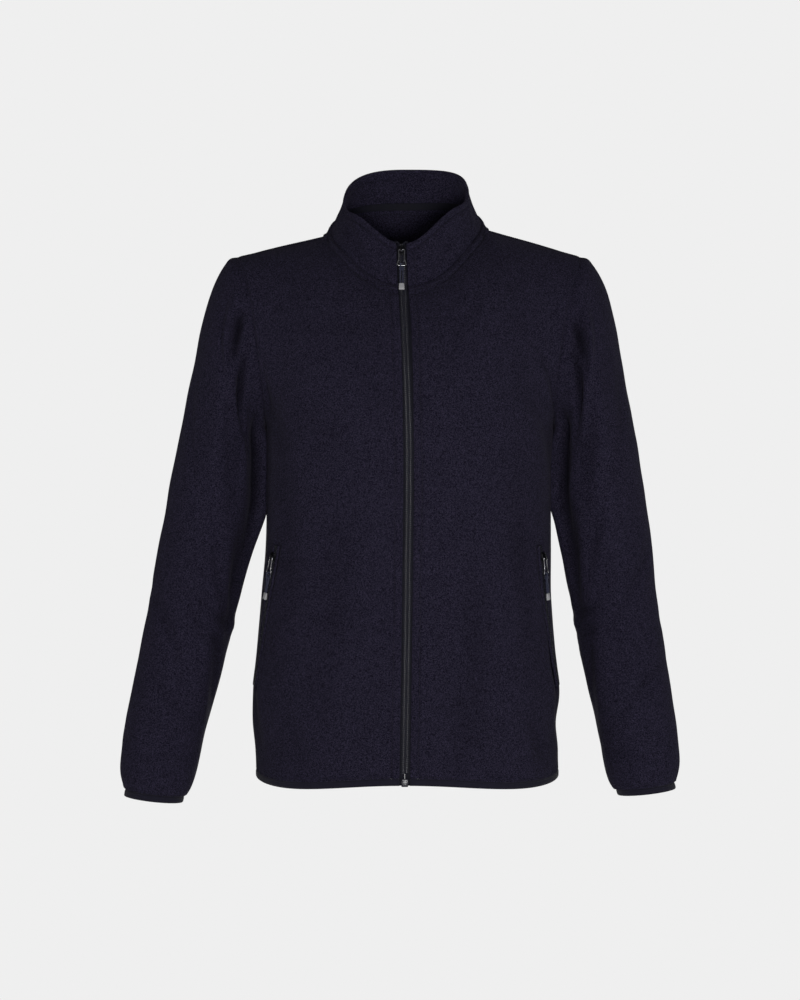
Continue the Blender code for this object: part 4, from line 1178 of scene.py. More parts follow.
def scattered(name, template, placings):
    """One mesh of a small shape repeated at many placings; the template is used up."""
    data = bpy.data.meshes.new("template")
    template.to_mesh(data)
    template.free()
    base = np.empty(len(data.vertices) * 3)
    data.vertices.foreach_get("co", base)
    base = np.c_[base.reshape(-1, 3), np.ones(len(data.vertices))]
    mesh = bmesh.new()
    for place in placings:
        data.vertices.foreach_set("co", (base @ np.array(place).T)[:, :3].ravel())
        mesh.from_mesh(data)
    bpy.data.meshes.remove(data)
    return linked(name, mesh)


def placing(point, x, y, z):
    """A matrix from a place and three directions."""
    place = Matrix.Identity(4)
    for k, way in enumerate((x, y, z)):
        for i in range(3):
            place[i][k] = way[i]
    place.translation = Vector(point)
    return place


def stitch_rows(name, rows, lift=0.05 * MM):
    """Rows of topstitches; each row is a line of points with its normals."""
    length = sizes().stitch
    radius = sizes().thread
    template = bmesh.new()
    bmesh.ops.create_icosphere(template, subdivisions=1, radius=1.0)
    bmesh.ops.scale(template, vec=(length * 0.40, radius * 1.5, radius), verts=template.verts)
    placings = []
    for points, normals in rows:
        place, normal, along = respaced(np.asarray(points), np.asarray(normals), length)
        across = unit(np.cross(normal, along))
        for p, n, a, c in zip(place, normal, along, across):
            placings.append(placing(p + n * lift, a, c, n))
    piece = scattered(name, template, placings)
    finish(piece, "thread")
    return piece


def zip_line():
    """Points up the middle of the front zip, from below the hem, with the outward way at each."""
    rows = np.linspace(0, HEM_ROWS + CHEST_ROWS, 121)
    heights = HEM + (UNDERARM - HEM) * rows[rows <= HEM_ROWS] / HEM_ROWS
    heights = np.concatenate([[HEM - BINDING_HEIGHT, HEM - BINDING_HEIGHT / 2], heights])
    points = stacked(0.0, -table_value(BODY, "front", heights), heights)
    rises = (rows[rows > HEM_ROWS] - HEM_ROWS) / CHEST_ROWS
    chest = rising_column(np.zeros_like(rises), rises, 1, "front")
    collar = collar_form(np.zeros(24), np.linspace(0, 1, 25)[1:], np.ones(24))
    points = np.concatenate([points, chest, collar])
    points[:, 0] = zip_offset(points[:, 2])
    out = unit(np.cross([1.0, 0.0, 0.0], np.gradient(points, axis=0)))
    return points, out


def at_height(points, values, height):
    """Values along a rising line, at a height."""
    return np.array([np.interp(height, points[:, 2], values[:, k]) for k in range(3)])


def tape_strip(side, name, points, outs):
    """One woven zip tape behind a front's edge, narrow behind the binding and in the collar."""
    narrow = ZIP_GAP - CLEAR
    neck = NECK.front_height
    heights = [HEM + CLEAR, HEM + 6 * MM, neck - 22 * MM, neck - 2 * MM]
    width = np.interp(points[:, 2], heights, [1.6 * narrow, TAPE_WIDTH, TAPE_WIDTH, narrow])
    shares = np.linspace(0, 1, 9)
    reach = CLEAR / 2 + (width[:, None] - CLEAR / 2) * shares
    grid = points[:, None, :] + reach[..., None] * (side, 0, 0) - outs[:, None, :] * TAPE_DEPTH
    uv = (shares * TAPE_WIDTH / MM, np.linspace(0, 1, len(points)) * 650)
    piece = linked(
        name + "_woven", grid_mesh(grid, np.broadcast_to(outs[:, None, :], grid.shape), uv=uv)
    )
    walled(piece, TAPE_THICK, 0)
    finish(piece, "tape", [name])


def rounded(mesh, edges, offset, segments, **options):
    """Rounds edges of an editing mesh."""
    bmesh.ops.bevel(
        mesh, geom=edges, offset=offset, segments=segments, affect="EDGES", profile=0.5,
        material=-1, **options,
    )


def edges_of(mesh, verts):
    """The edges of one loose part of an editing mesh, in the mesh's order."""
    corners = set(verts)
    return [edge for edge in mesh.edges if edge.verts[0] in corners]


def block(mesh, size, offset, segments, lean=0.0, spot=(0, 0, 0)):
    """Adds a rounded block to an editing mesh; it leans about Y before it is moved."""
    verts = bmesh.ops.create_cube(mesh, size=1.0)["verts"]
    bmesh.ops.scale(mesh, vec=size, verts=verts)
    bmesh.ops.rotate(mesh, matrix=Matrix.Rotation(lean, 3, "Y"), verts=verts)
    bmesh.ops.translate(mesh, vec=spot, verts=verts)
    rounded(mesh, edges_of(mesh, verts), offset, segments)


def coil_turn(half_width, half_pitch, thick):
    """One turn of a nylon coil seen from above, a short rounded bar."""
    template = bmesh.new()
    bmesh.ops.create_cube(template, size=2.0)
    size = (half_width, half_pitch * TURN_FILL, thick)
    bmesh.ops.scale(template, vec=size, verts=template.verts)
    offset = min(half_pitch, thick) * TURN_ROUNDING
    rounded(template, template.edges[:], offset, 1, offset_type="OFFSET")
    return template


def coil_chain(name, points, outs, ways, half, pitch, sink, slot_nodes):
    """A closed chain of coil turns, the two sides in step by half a pitch."""
    turns = []
    place, normal, along = respaced(points, outs, pitch)
    _, way, _ = respaced(points, ways, pitch)
    for p, n, a, w in zip(place, normal, along, way):
        for side in (1, -1):
            across = unit(w - a * np.dot(w, a)) * side
            shift = a * pitch * TURN_STEP * side
            spot = p + shift + across * half * TURN_PLACE - n * sink
            turns.append((side, placing(spot, across, a * side, n)))
    for side, title, node in ((1, "left", slot_nodes[0]), (-1, "right", slot_nodes[-1])):
        chosen = [place for s, place in turns if s == side]
        template = coil_turn(half * TURN_REACH, pitch / 2, TURN_THICK)
        piece = scattered(name + "_" + title, template, chosen)
        finish(piece, "coil", [node] if node else ())


# Materials


def new_group(name, inputs, outputs):
    """A shader node group with named sockets."""
    group = bpy.data.node_groups.new(name, "ShaderNodeTree")
    for title, kind, default in inputs:
        socket = group.interface.new_socket(
            name=title, in_out="INPUT", socket_type="NodeSocket" + kind
        )
        if default is not None:
            socket.default_value = default
    for title, kind in outputs:
        group.interface.new_socket(name=title, in_out="OUTPUT", socket_type="NodeSocket" + kind)
    nodes = group.nodes
    return group, nodes.new("NodeGroupInput"), nodes.new("NodeGroupOutput")


def link(tree, source, target):
    tree.links.new(source, target)


def noise(tree, vector, scale, detail, roughness=0.55):
    """A noise texture's value."""
    node = tree.nodes.new("ShaderNodeTexNoise")
    link(tree, vector, node.inputs["Vector"])
    if hasattr(scale, "links"):
        link(tree, scale, node.inputs["Scale"])
    else:
        node.inputs["Scale"].default_value = scale
    node.inputs["Detail"].default_value = detail
    node.inputs["Roughness"].default_value = roughness
    return node.outputs["Fac"]


def maths(tree, operation, first, second=None):
    """The result of a Math node."""
    node = tree.nodes.new("ShaderNodeMath")
    node.operation = operation
    for socket, value in zip(node.inputs, (first, second)):
        if value is None:
            continue
        if hasattr(value, "links"):
            link(tree, value, socket)
        else:
            socket.default_value = value
    return node.outputs[0]


def spread(tree, value, low, high, to_low=0.0, to_high=1.0):
    """A value moved from one range to another, held inside it."""
    node = tree.nodes.new("ShaderNodeMapRange")
    link(tree, value, node.inputs["Value"])
    ends = {"From Min": low, "From Max": high, "To Min": to_low, "To Max": to_high}
    for title, number in ends.items():
        node.inputs[title].default_value = number
    return node.outputs["Result"]


def blended(tree, factor, first, second):
    """Two colours mixed by a factor."""
    node = tree.nodes.new("ShaderNodeMix")
    node.data_type = "RGBA"
    link(tree, factor, node.inputs[0])
    for socket, value in ((node.inputs[6], first), (node.inputs[7], second)):
        if hasattr(value, "links"):
            link(tree, value, socket)
        else:
            socket.default_value = (*value, 1.0)
    return node.outputs[2]


def scaled_colour(tree, colour, factor):
    """A colour made lighter or darker by a factor."""
    node = tree.nodes.new("ShaderNodeVectorMath")
    node.operation = "SCALE"
    link(tree, colour, node.inputs[0])
    link(tree, factor, node.inputs["Scale"])
    return node.outputs[0]


def weighed(tree, first, share, second, other_share):
    """The sum of two values, each times its share."""
    parts = (maths(tree, "MULTIPLY", first, share), maths(tree, "MULTIPLY", second, other_share))
    return maths(tree, "ADD", *parts)


def threads(tree, place, spacing):
    """A wave across one set of threads that lie a spacing apart."""
    return maths(tree, "SINE", maths(tree, "MULTIPLY", place, maths(tree, "DIVIDE", TURN, spacing)))


def nap_group():
    """Short fibres: fine flecks, small clumps and broad patches where the pile lies down, darkened
    by painted shade in deep folds.
    """
    group, start, end = new_group(
        "Fleece nap",
        [
            ("Vector", "Vector", None),
            ("Base", "Color", (0.01, 0.01, 0.02, 1)),
            ("Ends", "Color", (0.03, 0.03, 0.05, 1)),
            ("Hollow", "Float", 0.0),
            ("Fibre scale", "Float", 1300.0),
            ("Clump scale", "Float", 520.0),
        ],
        [("Color", "Color"), ("Height", "Float"), ("Roughness", "Float")],
    )
    vector = start.outputs["Vector"]
    fibre = noise(group, vector, start.outputs["Fibre scale"], 2.0, 0.65)
    clump = noise(group, vector, start.outputs["Clump scale"], 3.0, 0.6)
    patch = noise(group, vector, 11.0, 2.0, 0.5)
    lay = noise(group, vector, 42.0, 3.0, 0.6)
    fleck = weighed(group, fibre, 0.72, clump, 0.28)
    ends = spread(group, fleck, 0.43, 0.60)
    broad = weighed(group, patch, 0.5, lay, 0.5)
    weight = maths(group, "MULTIPLY", ends, spread(group, broad, 0.3, 0.7, 0.86, 1.0))
    # Painted shade: the colour darkens to about a third of itself in the deepest folds
    shade = spread(group, start.outputs["Hollow"], 0.0, 1.0, 1.0, 0.32)
    tint = blended(group, weight, start.outputs["Base"], start.outputs["Ends"])
    link(group, scaled_colour(group, tint, shade), end.inputs["Color"])
    height = maths(group, "ADD", fleck, maths(group, "MULTIPLY", lay, 0.5))
    link(group, height, end.inputs["Height"])
    link(group, spread(group, fleck, 0.3, 0.7, 0.98, 0.86), end.inputs["Roughness"])
    return group


def weave_group():
    """Threads that cross, from a UV map in millimetres, with painted shade in the low places
    between them and a lighter colour on their crowns.
    """
    group, start, end = new_group(
        "Woven threads",
        [
            ("Vector", "Vector", None),
            ("Base", "Color", (0.01, 0.01, 0.02, 1)),
            ("Across", "Float", 1.1),
            ("Along", "Float", 0.7),
        ],
        [("Color", "Color"), ("Height", "Float")],
    )
    split = group.nodes.new("ShaderNodeSeparateXYZ")
    link(group, start.outputs["Vector"], split.inputs[0])
    warp = threads(group, split.outputs[0], start.outputs["Across"])
    weft = threads(group, split.outputs[1], start.outputs["Along"])
    cross = spread(group, maths(group, "MULTIPLY", warp, weft), -1.0, 1.0)
    ridge = spread(group, weft, -1.0, 1.0)
    height = weighed(group, cross, 0.6, ridge, 0.4)
    dirt = noise(group, start.outputs["Vector"], 0.35, 3.0)
    # Painted shade and light: the colour follows the threads' height, darker between the threads
    # and lighter on their crowns; the noise adds an uneven tone
    relief = spread(group, height, 0.0, 1.0, 0.55, 1.35)
    shade = maths(group, "MULTIPLY", relief, spread(group, dirt, 0.3, 0.7, 0.85, 1.15))
    link(group, scaled_colour(group, start.outputs["Base"], shade), end.inputs["Color"])
    link(group, height, end.inputs["Height"])
    return group


def wear_group():
    """Fine scratches and a slightly uneven tone for metal and moulded pieces."""
    group, start, end = new_group(
        "Handled surface",
        [
            ("Vector", "Vector", None),
            ("Base", "Color", (0.4, 0.4, 0.4, 1)),
            ("Low", "Float", 0.2),
            ("High", "Float", 0.4),
        ],
        [("Color", "Color"), ("Height", "Float"), ("Roughness", "Float")],
    )
    fine = noise(group, start.outputs["Vector"], 2600.0, 3.0)
    broad = noise(group, start.outputs["Vector"], 320.0, 2.0)
    shade = spread(group, broad, 0.3, 0.7, 0.86, 1.1)
    mix = group.nodes.new("ShaderNodeMix")
    link(group, fine, mix.inputs[0])
    link(group, start.outputs["Low"], mix.inputs[2])
    link(group, start.outputs["High"], mix.inputs[3])
    link(group, scaled_colour(group, start.outputs["Base"], shade), end.inputs["Color"])
    link(group, fine, end.inputs["Height"])
    link(group, mix.outputs[0], end.inputs["Roughness"])
    return group


def surface_material(name, group, values, bump_depth, coordinates="Object", **shader_values):
    """A material: a pattern group feeds a Principled shader."""
    made = bpy.data.materials.new(name)
    made.use_nodes = True
    tree = made.node_tree
    shader = tree.nodes["Principled BSDF"]
    place = tree.nodes.new("ShaderNodeTexCoord")
    pattern = tree.nodes.new("ShaderNodeGroup")
    pattern.node_tree = group
    link(tree, place.outputs[coordinates], pattern.inputs["Vector"])
    # The per-point mask of painted shade in the cloth's folds
    if "Hollow" in pattern.inputs:
        painted_shade_attribute = tree.nodes.new("ShaderNodeAttribute")
        painted_shade_attribute.attribute_name = "hollow"
        link(tree, painted_shade_attribute.outputs["Fac"], pattern.inputs["Hollow"])
    for title, value in values.items():
        pattern.inputs[title].default_value = (*value, 1.0) if hasattr(value, "__len__") else value
    link(tree, pattern.outputs["Color"], shader.inputs["Base Color"])
    if "Roughness" in pattern.outputs:
        link(tree, pattern.outputs["Roughness"], shader.inputs["Roughness"])
    raised = tree.nodes.new("ShaderNodeBump")
    raised.inputs["Strength"].default_value = 1.0
    raised.inputs["Distance"].default_value = bump_depth
    link(tree, pattern.outputs["Height"], raised.inputs["Height"])
    link(tree, raised.outputs["Normal"], shader.inputs["Normal"])
    for title, value in shader_values.items():
        shader.inputs[title.replace("_", " ")].default_value = value
    return made


def materials():
    """Every material of the jacket, made once."""
    if "Fleece" in bpy.data.materials and "finishes" in MATERIALS:
        return MATERIALS["finishes"]
    c = colours()
    nap, weave, wear = nap_group(), weave_group(), wear_group()
    made = {
        "fleece": surface_material(
            "Fleece", nap, {"Base": c.fleece, "Ends": c.nap}, 0.45 * MM,
            Sheen_Weight=0.05, Sheen_Roughness=0.5, Sheen_Tint=(0.62, 0.58, 0.80, 1.0),
            Specular_IOR_Level=0.08,
        ),
        "binding": surface_material(
            "Elastic binding", weave, {"Base": c.binding, "Across": 1.6, "Along": 1.3}, 0.25 * MM,
            "UV", Roughness=0.85, Sheen_Weight=0.1, Specular_IOR_Level=0.2,
        ),
        "tape": surface_material(
            "Zip tape", weave, {"Base": c.tape, "Across": 0.8, "Along": 0.9}, 0.15 * MM,
            "UV", Roughness=0.75, Specular_IOR_Level=0.25,
        ),
        "coil": surface_material(
            "Nylon coil", wear, {"Base": c.coil, "Low": 0.16, "High": 0.34}, 0.03 * MM,
            Specular_IOR_Level=0.6,
        ),
        "thread": surface_material(
            "Sewing thread", wear, {"Base": c.thread, "Low": 0.5, "High": 0.7}, 0.05 * MM,
            Specular_IOR_Level=0.3,
        ),
        "metal": surface_material(
            "Slider metal", wear, {"Base": c.metal, "Low": 0.25, "High": 0.42}, 0.02 * MM,
            Metallic=1.0,
        ),
        "bright": surface_material(
            "Plated wire", wear, {"Base": c.bright, "Low": 0.14, "High": 0.3}, 0.01 * MM,
            Metallic=1.0,
        ),
        "cord": surface_material(
            "Braided cord", weave, {"Base": c.cord, "Across": 0.7, "Along": 0.8}, 0.12 * MM,
            "UV", Roughness=0.6, Sheen_Weight=0.15,
        ),
        "tip": surface_material(
            "Moulded tip", wear, {"Base": c.tip, "Low": 0.3, "High": 0.45}, 0.02 * MM,
            Specular_IOR_Level=0.5, Coat_Weight=0.15,
        ),
    }
    MATERIALS["finishes"] = made
    return made


MATERIALS = {}


# Operators


class JACKET_OT_stage(Operator):
    """Make the camera, the lights, the floor and the backdrop"""

    bl_idname = "jacket.stage"
    bl_label = "Stage"

    def execute(self, context):
        scene = context.scene
        scene.view_settings.view_transform = "Standard"
        scene.view_settings.look = "None"
        lens = bpy.data.cameras.new("Camera")
        lens.lens = FOCAL_LENGTH
        lens.sensor_width = SENSOR_WIDTH
        lens.clip_end = 50.0
        camera = bpy.data.objects.new("Camera", lens)
        camera.location = CAMERA_PLACE
        camera.rotation_euler = (math.pi / 2, 0, 0)
        scene.collection.objects.link(camera)
        scene.camera = camera
        for lamp in LAMPS:
            self.light(lamp)
        world = bpy.data.worlds.new("Studio")
        world.use_nodes = True
        scene.world = world
        shown = world.node_tree.nodes["Background"]
        shown.inputs["Color"].default_value = (*colours().floor, 1.0)
        cast = world.node_tree.nodes.new("ShaderNodeBackground")
        cast.inputs["Color"].default_value = (1.0, 1.0, 1.0, 1.0)
        cast.inputs["Strength"].default_value = AMBIENT
        end = world.node_tree.nodes["World Output"]
        self.split(world.node_tree, shown, cast, "Background", end)
        floor = self.floor()
        made = bpy.data.materials.new("Pale floor")
        made.use_nodes = True
        tree = made.node_tree
        pale = tree.nodes["Principled BSDF"]
        pale.inputs["Base Color"].default_value = FLOOR_PAINT
        pale.inputs["Roughness"].default_value = 0.95
        shown = tree.nodes.new("ShaderNodeEmission")
        shown.inputs["Color"].default_value = (*colours().floor, 1.0)
        self.split(tree, shown, pale, "Emission", tree.nodes["Material Output"])
        floor.data.materials.append(made)
        return {"FINISHED"}

    def split(self, tree, shown, cast, output, end):
        """Shows one shader plainly and lights the jacket with another."""
        path = tree.nodes.new("ShaderNodeLightPath")
        mix = tree.nodes.new("ShaderNodeMixShader")
        link(tree, path.outputs["Is Camera Ray"], mix.inputs[0])
        link(tree, cast.outputs[0], mix.inputs[1])
        link(tree, shown.outputs[output], mix.inputs[2])
        link(tree, mix.outputs[0], end.inputs["Surface"])

    def light(self, lamp):
        """A soft square light that faces the jacket's middle."""
        data = bpy.data.lights.new(lamp.name, "AREA")
        data.shape = "SQUARE"
        data.size = lamp.size
        data.energy = lamp.power
        light = bpy.data.objects.new(lamp.name, data)
        light.location = lamp.place
        way = Vector(LAMPS_AIM) - Vector(lamp.place)
        light.rotation_euler = way.to_track_quat("-Z", "Y").to_euler()
        bpy.context.scene.collection.objects.link(light)

    def floor(self):
        """A wide round floor of the backdrop's own tone."""
        mesh = bmesh.new()
        bmesh.ops.create_circle(mesh, cap_ends=True, segments=96, radius=FLOOR_RADIUS)
        bmesh.ops.translate(mesh, vec=(0, 0, FLOOR_HEIGHT), verts=mesh.verts)
        return linked("floor", mesh)


class JACKET_OT_body(Operator):
    """Make the back and the two fronts"""

    bl_idname = "jacket.body"
    bl_label = "Back and fronts"

    def execute(self, context):
        back = back_piece()
        left, right = (front_piece(side) for side in SIDES)
        return {"FINISHED"}


class JACKET_OT_sleeves(Operator):
    """Make the two sleeves"""

    bl_idname = "jacket.sleeves"
    bl_label = "Sleeves"

    def execute(self, context):
        for side, area in ((1, 0.170), (-1, 0.176)):
            sleeve = sleeve_piece(side)
        return {"FINISHED"}


class JACKET_OT_collar(Operator):
    """Make the collar, the band round the neck seam and the tape inside the neck"""

    bl_idname = "jacket.collar"
    bl_label = "Collar"

    def execute(self, context):
        collar = collar_piece()
        band = neck_band()
        tape = neck_tape()
        neck_allowance()
        return {"FINISHED"}


def neck_seam(count):
    """Points round the neck seam from the wearer's left zip edge, and the ways out and down."""
    place = np.linspace(0, 1, count + 1)
    low = collar_point(place, np.zeros(count + 1))
    high = collar_point(place, np.full(count + 1, 0.25))
    side = np.where(place <= 0.5, 1.0, -1.0)
    start = np.where(side > 0, collar_start(1), collar_start(-1))
    angle = np.pi + (start - np.pi) * np.abs(2 * place - 1)
    out = unit(stacked(side * np.sin(angle), -np.cos(angle), 0.0))
    return low, out, unit(low - high)


def band_reach(count):
    """The neck band's width and its way from the seam; it narrows towards the zip."""
    seam, out, down = neck_seam(count)
    run = np.linspace(0, 1, count + 1)
    from_zip = np.minimum(run, 1 - run) / 0.09
    width = sizes().band_width * (0.62 + 0.38 * np.clip(from_zip, 0, 1))
    return seam, unit(out * 0.75 + down * 0.65) * width[:, None]


def neck_band():
    """The raised band of cloth sewn over the neck seam, on the fronts and the back."""
    count = 190
    seam, way = band_reach(count)
    trees = [front_cloth(1), front_cloth(-1), "back_cloth"]
    rows = []
    outward = []
    for share, lift in BAND_PROFILE:
        places, normals = laid(seam + way * share, trees)
        rows.append(places + normals * (lift * MM))
        outward.append(normals)
    points, outward = np.array(rows), np.array(outward)
    for _ in range(3):
        points[:, 1:-1] = points[:, 1:-1] / 2 + (points[:, :-2] + points[:, 2:]) / 4
    mesh = grid_mesh(points, outward)
    TREES["neck_band"] = BVHTree.FromBMesh(mesh)
    piece = linked("neck_band", mesh)
    walled(piece, 0.9 * MM, 0)
    finish(piece, "fleece")
    return piece


def neck_allowance():
    """The turned seam allowance that fills the neck seam's inner corner."""
    seam, out, down = neck_seam(180)
    centres = (seam - out * 2.3 * MM + down * 0.6 * MM)[1:-1]
    piece = swept(
        "neck_allowance", centres, out[1:-1], down[1:-1], 2.0 * MM, 3.4 * MM, 12, square=0.8
    )
    finish(piece, "fleece")


def neck_tape():
    """The flat tape that covers the neck seam inside the back of the collar."""
    place = np.linspace(0.5 - NECK_TAPE_HALF, 0.5 + NECK_TAPE_HALF, 90)
    rise = np.linspace(0.02, 0.20, 7)
    points = collar_point(place[None, :], rise[:, None])
    normals = grid_normals(points, np.zeros(3))
    edge = np.abs(np.linspace(-1, 1, len(rise))) ** 4
    depth = sizes().collar_cloth + (0.5 + 0.2 * edge[:, None, None]) * MM
    points = points - normals * depth
    uv = (np.linspace(0, 230, len(place)), np.linspace(0, 11, len(rise)))
    piece = linked("neck_tape_woven", grid_mesh(points, normals, uv=uv))
    walled(piece, 0.7 * MM, 0)
    finish(piece, "tape", ["neck_tape"])
    return piece


class JACKET_OT_bindings(Operator):
    """Make the elastic bindings of the hem and the cuffs"""

    bl_idname = "jacket.bindings"
    bl_label = "Bindings"

    def execute(self, context):
        hem_binding()
        for side in SIDES:
            cuff_binding(side)
        return {"FINISHED"}


def binding_ripple(count, sides, phase):
    """Small gathers round an elastic binding."""
    around = np.arange(count)[:, None]
    turn = np.linspace(0, 2 * np.pi, sides + 1)[None, :]
    wave = np.sin(around * 2.4 + phase) * 0.5 + np.sin(around * 1.31 + 2 * phase) * 0.5
    return 1 + 0.07 * wave * np.sin(turn) ** 2


def binding(line, up, middle, node, inset, half_thick, phase, closed=False):
    """An elastic binding along a line that goes round a middle, for one solid."""
    across, _ = line_frames(line, up, closed)
    outward = across * (line - middle) * (1, 1, 1 if closed else 0)
    across = np.where(np.sum(outward, axis=1)[:, None] > 0, across, -across)
    piece = swept(
        node + "_knit", line - across * inset, up, across, BINDING_HEIGHT / 2, half_thick,
        BINDING_SIDES, closed=closed, square=0.62, uv_scale=1000,
        scale=binding_ripple(len(line), BINDING_SIDES, phase),
    )
    finish(piece, "binding", [node])


def hem_binding():
    """The binding round the hem, from one side of the zip to the other."""
    share = np.linspace(0, 1, 131)
    parts = []
    for side, face, order in ((1, "front", 1), (1, "back", -1), (-1, "back", 1), (-1, "front", -1)):
        places = share[::order]
        height = hem_height(places) - BINDING_HEIGHT / 2
        parts.append(level_point(height, places, side, face) * (side, 1, 1))
    line = np.concatenate([*(part[:-1] for part in parts[:-1]), parts[-1]])
    up = np.broadcast_to([0.0, 0.0, 1.0], line.shape)
    binding(line, up, (0, 0, 0), "hem_binding", 0.7 * MM, 1.75 * MM, 0.3)


def cuff_binding(side):
    """The binding round one cuff, below the last ring of its sleeve."""
    turn = np.linspace(0, 1, 121)[:-1]
    end = float(len(SLEEVE) - 1)
    ring = sleeve_point(turn, np.full_like(turn, end), side)
    above = sleeve_point(turn, np.full_like(turn, end - 0.7), side)
    down = unit(ring.mean(axis=0) - above.mean(axis=0))
    line = ring + down * (BINDING_HEIGHT / 2 + 0.2 * MM)
    up = np.broadcast_to(-down, line.shape)
    name = "cuff_binding_" + hand(side)
    binding(line, up, line.mean(axis=0), name, 1.0 * MM, 1.7 * MM, side + 2.0, closed=True)


class JACKET_OT_front_zip(Operator):
    """Make the tapes, the coils, the stops and the bottom box of the front zip"""

    bl_idname = "jacket.front_zip"
    bl_label = "Front zip"

    def execute(self, context):
        points, outs = zip_line()
        for side in SIDES:
            tape_strip(side, "zip_tape_" + hand(side), points, outs)
        inside = points[:, 2] > HEM
        line, out = points[inside], outs[inside]
        ways = np.broadcast_to([1.0, 0.0, 0.0], line.shape)
        coil_chain(
            "zip_coil", line, out, ways, COIL_HALF, sizes().pitch, 1.2 * MM,
            ["zip_coil_left", "zip_coil_right"],
        )
        self.core(line, out)
        self.stops(points, outs)
        self.box()
        return {"FINISHED"}

    def core(self, line, out):
        """The cords that run through the two coils."""
        wide = np.broadcast_to([1.0, 0.0, 0.0], line.shape)
        for side in SIDES:
            name = "zip_cord_" + hand(side)
            centres = line + (side * CORE_APART, 0, 0) - out * CORE_DEPTH
            piece = swept(name, centres, wide, out, 1.35 * MM, 0.4 * MM, 8, uv_scale=1000)
            finish(piece, "tape")

    def stops(self, points, outs):
        """The two top stops, and the turned ends of the tapes above them."""
        top, out = points[-1], outs[-1]
        along = unit(points[-1] - points[-4])
        for side in SIDES:
            knots = []
            for across, up, lift in TAPE_END:
                across_way = (side * across * MM, 0, 0)
                knots.append(top + across_way + along * up * MM + out * lift * MM)
            line = smooth_line(knots, 24)
            wide, high = line_frames(line, out)
            name = "tape_end_" + hand(side)
            end = swept(name, line, wide, high, 1.1 * MM, 0.5 * MM, 10, uv_scale=1000)
            finish(end, "tape")
            mesh = bmesh.new()
            block(mesh, STOP, 0.5 * MM, 3)
            spot = top + (side * STOP_APART, 0, 0) - along * 2.0 * MM - out * 1.2 * MM
            place = placing(spot, (1, 0, 0), -out, along)
            bmesh.ops.transform(mesh, matrix=place, verts=mesh.verts)
            stop = linked("zip_stop_" + hand(side), mesh)
            finish(stop, "bright")

    def box(self):
        """The box that the zip's end pins sit in, with its ribs."""
        low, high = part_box("zip_box")
        centre = (Vector(low) + Vector(high)) / 2
        size = Vector(high) - Vector(low)
        mesh = bmesh.new()
        block(mesh, size, 0.8 * MM, 3)
        bmesh.ops.translate(mesh, vec=centre, verts=mesh.verts)
        for k in range(3):
            spot = Vector((centre.x, low[1], centre.z - size.z * 0.22 + k * 1.9 * MM))
            block(mesh, (size.x * 0.72, 0.8 * MM, 0.7 * MM), 0.2 * MM, 2, spot=spot)
        piece = linked("zip_box_moulded", mesh)
        finish(piece, "coil", ["zip_box"])


class JACKET_OT_pockets(Operator):
    """Make the pocket zips and the lips of cloth beside them"""

    bl_idname = "jacket.pockets"
    bl_label = "Pocket zips"

    def execute(self, context):
        for side in SIDES:
            name = "pocket_" + hand(side)
            line, outs, forwards = pocket_line(side)
            forwards = forwards * side
            self.tape(name, line, outs, forwards)
            self.chain(name, line, outs, forwards)
            self.lips(name, line, outs, forwards, side)
        return {"FINISHED"}

    def tape(self, name, line, outs, ways):
        """The woven tape under the coil."""
        reach = np.linspace(-POCKET_TAPE_HALF, POCKET_TAPE_HALF, 9) * MM
        middle = line[:, None, :] + ways[:, None, :] * reach[None, :, None]
        grid = middle + outs[:, None, :] * POCKET_TAPE_LIFT
        uv = (reach * 1000, np.linspace(0, 170, len(line)))
        mesh = grid_mesh(grid, np.broadcast_to(outs[:, None, :], grid.shape), uv=uv)
        piece = linked(name + "_tape_woven", mesh)
        walled(piece, 0.6 * MM, 0)
        finish(piece, "tape", [name + "_tape"])

    def chain(self, name, line, outs, ways):
        """The coil, drawn together in one piece."""
        spots = line + outs * POCKET_LIFT
        nodes = [name + "_coil", None]
        coil_chain(name + "_coil", spots, outs, ways, 2.5 * MM, 1.35 * MM, 0.75 * MM, nodes)

    def lips(self, name, line, outs, ways, side):
        """Two soft lips of cloth that close over the edges of the tape, with their stitching."""
        rows = []
        for lip in LIPS:
            middle = line + ways * lip.sign * (LIP_GAP + lip.half) * MM + outs * lip.lift * MM
            wide = unit(ways - outs * lip.sign * LIP_LEAN)
            high = unit(outs + ways * lip.sign * LIP_LEAN)
            title = name + "_lip_" + lip.name
            size = (lip.half * MM, LIP_HALF_THICK)
            piece = swept(title, middle, wide, high, *size, 12, square=0.85)
            finish(piece, "fleece")
            rows.append(laid(line + ways * lip.sign * lip.row * MM, [front_cloth(side)]))
        stitch_rows(name + "_stitches", rows)


